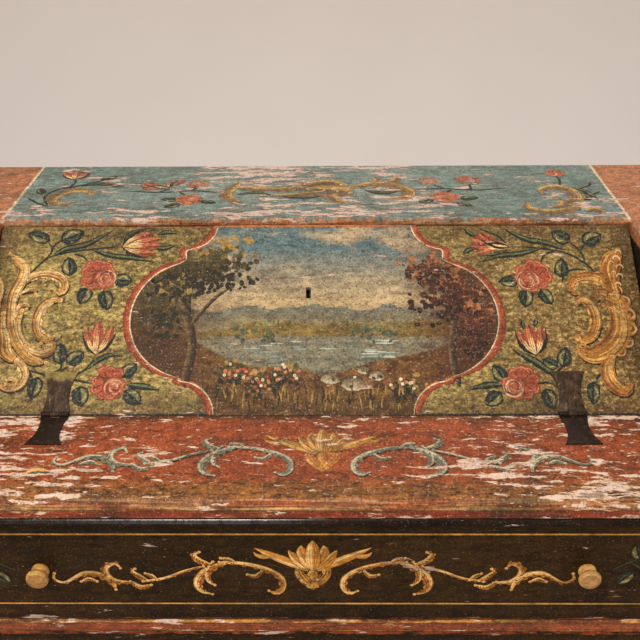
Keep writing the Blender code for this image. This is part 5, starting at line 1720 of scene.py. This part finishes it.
class CHEST_OT_knobs(bpy.types.Operator):
    """Turn the knobs"""

    bl_idname = "chest.knobs"
    bl_label = "Knobs"

    # Radius and height of the turned profile, as shares of the knob's own; the ball's arc and the tip follow
    STEM = (
        (0.0, 0.0), (0.76, 0.0), (0.79, 0.03), (0.79, 0.12), (0.74, 0.165), (0.52, 0.18), (0.44, 0.22), (0.43, 0.27),
        (0.50, 0.33),
    )

    def execute(self, context):
        for drawer in LONG_DRAWERS:
            for word in SIDES:
                self.turn(f"{drawer}_drawer_{word}_knob")
        for word in SIDES:
            self.turn(f"{word}_tower_drawer_knob")
        return {"FINISHED"}

    def turn(self, node):
        low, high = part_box(node)
        long, radius = high.y - low.y, (high.x - low.x) / 2
        angles = [math.radians(d) for d in range(-50, 86, 9)]
        profile = [*self.STEM, *((math.cos(a), 0.645 + 0.355 * math.sin(a)) for a in angles), (0.0, 1.0)]
        bm = bmesh.new()
        verts = [bm.verts.new((r * radius, 0, h * long)) for r, h in profile]
        edges = [bm.edges.new(pair) for pair in zip(verts, verts[1:])]
        bmesh.ops.spin(
            bm, geom=verts + edges, cent=(0, 0, 0), axis=(0, 0, 1), angle=math.tau, steps=36, use_merge=True,
        )
        bmesh.ops.remove_doubles(bm, verts=bm.verts, dist=1e-6)
        edge = bm.verts.layers.float.new("edge")
        for vert in bm.verts:
            vert[edge] = 0.75 if vert.co.z > 0.85 * long else 0.2
        spot = (low.x + high.x) / 2, high.y, (low.z + high.z) / 2
        place = Matrix.Translation(spot) @ Matrix.Rotation(math.pi / 2, 4, "X")
        bmesh.ops.transform(bm, matrix=place, verts=bm.verts)
        bmesh.ops.recalc_face_normals(bm, faces=bm.faces)
        add_piece(f"{node}_turned", bm, paint_material("gilt"), body_of_node(node), (node,), 50.0)


class CHEST_OT_long_drawers(bpy.types.Operator):
    """Finish the three long drawers and paint their fronts"""

    bl_idname = "chest.long_drawers"
    bl_label = "Long drawers"

    def execute(self, context):
        for seed, word in enumerate(LONG_DRAWERS, 30):
            finish_drawer(f"{word}_drawer", ("walls", "bottom"), paint_front, seed)
        return {"FINISHED"}


class CHEST_OT_tower_drawers(bpy.types.Operator):
    """Finish the two tower drawers and paint their fronts"""

    bl_idname = "chest.tower_drawers"
    bl_label = "Tower drawers"

    def execute(self, context):
        for seed, (word, side) in enumerate(SIDES.items(), 40):
            finish_drawer(f"{word}_tower_drawer", ("tray",), paint_tower_front, side, seed)
        return {"FINISHED"}


class CHEST_OT_case(bpy.types.Operator):
    """Finish the lower case and paint its sides"""

    bl_idname = "chest.case"
    bl_label = "Lower case"

    def execute(self, context):
        for word, side in SIDES.items():
            name, node = f"{word}_side_ornament", f"{word}_case_side"
            dressed(f"{word}_corner_post", "salmon_upright")
            painted_side(name, node, side, "salmon_upright", "salmon_paint", paint_case_side)
        for level in ("top", "upper", "lower"):
            dressed(f"{level}_drawer_rail", "salmon")
        runners = [f"{level}_{word}_runner" for level in ("upper", "lower") for word in SIDES]
        finish_nodes(wood_material(), "case_back", "case_bottom", *runners)
        return {"FINISHED"}


class CHEST_OT_base(bpy.types.Operator):
    """Finish the feet, the apron and the base moulding"""

    bl_idname = "chest.base"
    bl_label = "Base"

    def execute(self, context):
        feet = [f"{row}_{word}_foot" for row in ("front", "back") for word in SIDES]
        for node in (*feet, "front_apron"):
            dressed(node, "salmon", 0.0012, 50.0)
        low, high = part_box("base_moulding")
        case_low, case_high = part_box("right_corner_post")
        out = high.x - case_high.x
        gap, lip, ease = 0.0003, 0.008, 0.0008
        profile = [(gap, low.z), (out - ease, low.z), (out, low.z + ease), (out, low.z + lip - 0.001)]
        profile += arc((gap, low.z + lip), (out - gap - 0.0006, high.z - low.z - lip), 0, 90, 12)
        bm = swept_moulding(profile, case_high.x, case_low.y, high.y)
        all_marked(bm, 0.4)
        add_piece("base_moulding_dressed", bm, paint_material("bead"), "case", ("base_moulding",))
        return {"FINISHED"}


class CHEST_OT_stage(bpy.types.Operator):
    """Set up the floor, the wall, the lamps and the camera"""

    bl_idname = "chest.stage"
    bl_label = "Stage"

    def execute(self, context):
        self.backdrop()
        self.lamps()
        self.camera()
        bpy.context.scene.view_settings.view_transform = "Standard"
        return {"FINISHED"}

    def backdrop(self):
        reach, deep, tall, curve = 14.0, 16.4, 6.0, 0.9
        bm = bmesh.new()
        edges = [bm.edges.new([bm.verts.new((x, -reach, 0.0)) for x in (-reach, reach)])]
        for shift in ((0, deep, 0), (0, 0, tall)):
            edges = extruded(bm, edges, Matrix.Translation(shift))
        corner = [e for e in bm.edges if len(e.link_faces) == 2]
        bmesh.ops.bevel(bm, geom=corner, offset=curve, segments=16, profile=0.5, affect="EDGES", material=-1)
        bmesh.ops.recalc_face_normals(bm, faces=bm.faces)
        if sum(face.normal.z for face in bm.faces) < 0:
            bmesh.ops.reverse_faces(bm, faces=bm.faces)
        material, wires = new_material("pale_backdrop")
        cloth = wires.noise(wires.place(), 3.0, 3.0, 0.5)
        base = wires.mix(cloth, *(shade(colours().backdrop, factor) for factor in (0.97, 1.03)))
        looks = {"Colour": base, "Roughness": cloth.span(0.2, 0.8, 0.85, 0.95), "Height": cloth}
        finish_shader(wires, looks, (0.05, 0.001), 0.1, one_sided=True)
        mesh = bpy.data.meshes.new("pale_floor")
        bm.to_mesh(mesh)
        bm.free()
        mesh.shade_smooth()
        mesh.materials.append(material)
        floor = bpy.data.objects.new("pale_floor", mesh)
        bpy.context.scene.collection.objects.link(floor)

    def lamps(self):
        world = bpy.data.worlds.new("soft_room")
        bpy.context.scene.world = world
        world.use_nodes = True
        sky = world.node_tree.nodes["Background"]
        sky.inputs["Color"].default_value = (1.0, 0.98, 0.95, 1.0)
        sky.inputs["Strength"].default_value = 0.42
        target = Vector((0.0, -0.1, 0.75))
        for name, place, size, power in (
            ("key_lamp", (-0.9, -2.0, 3.0), 1.5, 78.0), ("fill_lamp", (2.3, -2.0, 2.6), 2.4, 20.0),
            ("back_lamp", (0.4, 1.4, 3.2), 2.0, 24.0),
        ):
            lamp = bpy.data.lights.new(name, "AREA")
            lamp.energy = power
            lamp.shape = "DISK"
            lamp.size = size
            lamp.color = (1.0, 0.965, 0.92)
            holder = bpy.data.objects.new(name, lamp)
            holder.location = place
            holder.rotation_euler = (target - Vector(place)).to_track_quat("-Z", "Y").to_euler()
            bpy.context.scene.collection.objects.link(holder)

    def camera(self):
        """The camera that was fitted to the photo's straight edges."""
        yaw, pitch, roll = (math.radians(a) for a in (-0.63, 29.56, -0.42))
        turns = (-yaw, "Z"), (math.pi / 2 - pitch, "X"), (roll, "Z")
        heading, tilt, bank = (Matrix.Rotation(angle, 4, axis) for angle, axis in turns)
        lens = bpy.data.cameras.new("photo_camera")
        lens.lens = 50.0
        lens.sensor_width = 36.0
        lens.sensor_fit = "HORIZONTAL"
        eye = bpy.data.objects.new("photo_camera", lens)
        eye.matrix_world = Matrix.Translation((0.0199, -1.0900, 1.4838)) @ heading @ tilt @ bank
        bpy.context.scene.collection.objects.link(eye)
        bpy.context.scene.camera = eye


OPERATORS = (
    CHEST_OT_stage, CHEST_OT_case, CHEST_OT_base, CHEST_OT_ledge, CHEST_OT_desk, CHEST_OT_top, CHEST_OT_lid,
    CHEST_OT_hinges, CHEST_OT_long_drawers, CHEST_OT_tower_drawers, CHEST_OT_knobs,
)


class CHEST_PT_panel(bpy.types.Panel):
    """Lists the steps that dress the chest"""

    bl_idname = "CHEST_PT_panel"
    bl_label = "Painted chest"
    bl_space_type = "VIEW_3D"
    bl_region_type = "UI"
    bl_category = "Chest"

    def draw(self, context):
        for operator in OPERATORS:
            self.layout.operator(operator.bl_idname)
        for group in (context.scene.chest_colours, context.scene.chest_sizes):
            box = self.layout.box()
            for name in group.__annotations__:
                box.prop(group, name)


CLASSES = (ChestColours, ChestSizes, *OPERATORS, CHEST_PT_panel)


def register():
    for item in CLASSES:
        bpy.utils.register_class(item)
    bpy.types.Scene.chest_colours = bpy.props.PointerProperty(type=ChestColours)
    bpy.types.Scene.chest_sizes = bpy.props.PointerProperty(type=ChestSizes)


def unregister():
    del bpy.types.Scene.chest_sizes
    del bpy.types.Scene.chest_colours
    for item in reversed(CLASSES):
        bpy.utils.unregister_class(item)


def main():
    register()
    bpy.ops.chest.stage()
    bpy.ops.chest.case()
    bpy.ops.chest.base()
    bpy.ops.chest.ledge()
    bpy.ops.chest.desk()
    bpy.ops.chest.top()
    bpy.ops.chest.lid()
    bpy.ops.chest.hinges()
    bpy.ops.chest.long_drawers()
    bpy.ops.chest.tower_drawers()
    bpy.ops.chest.knobs()


if __name__ == "__main__":
    main()
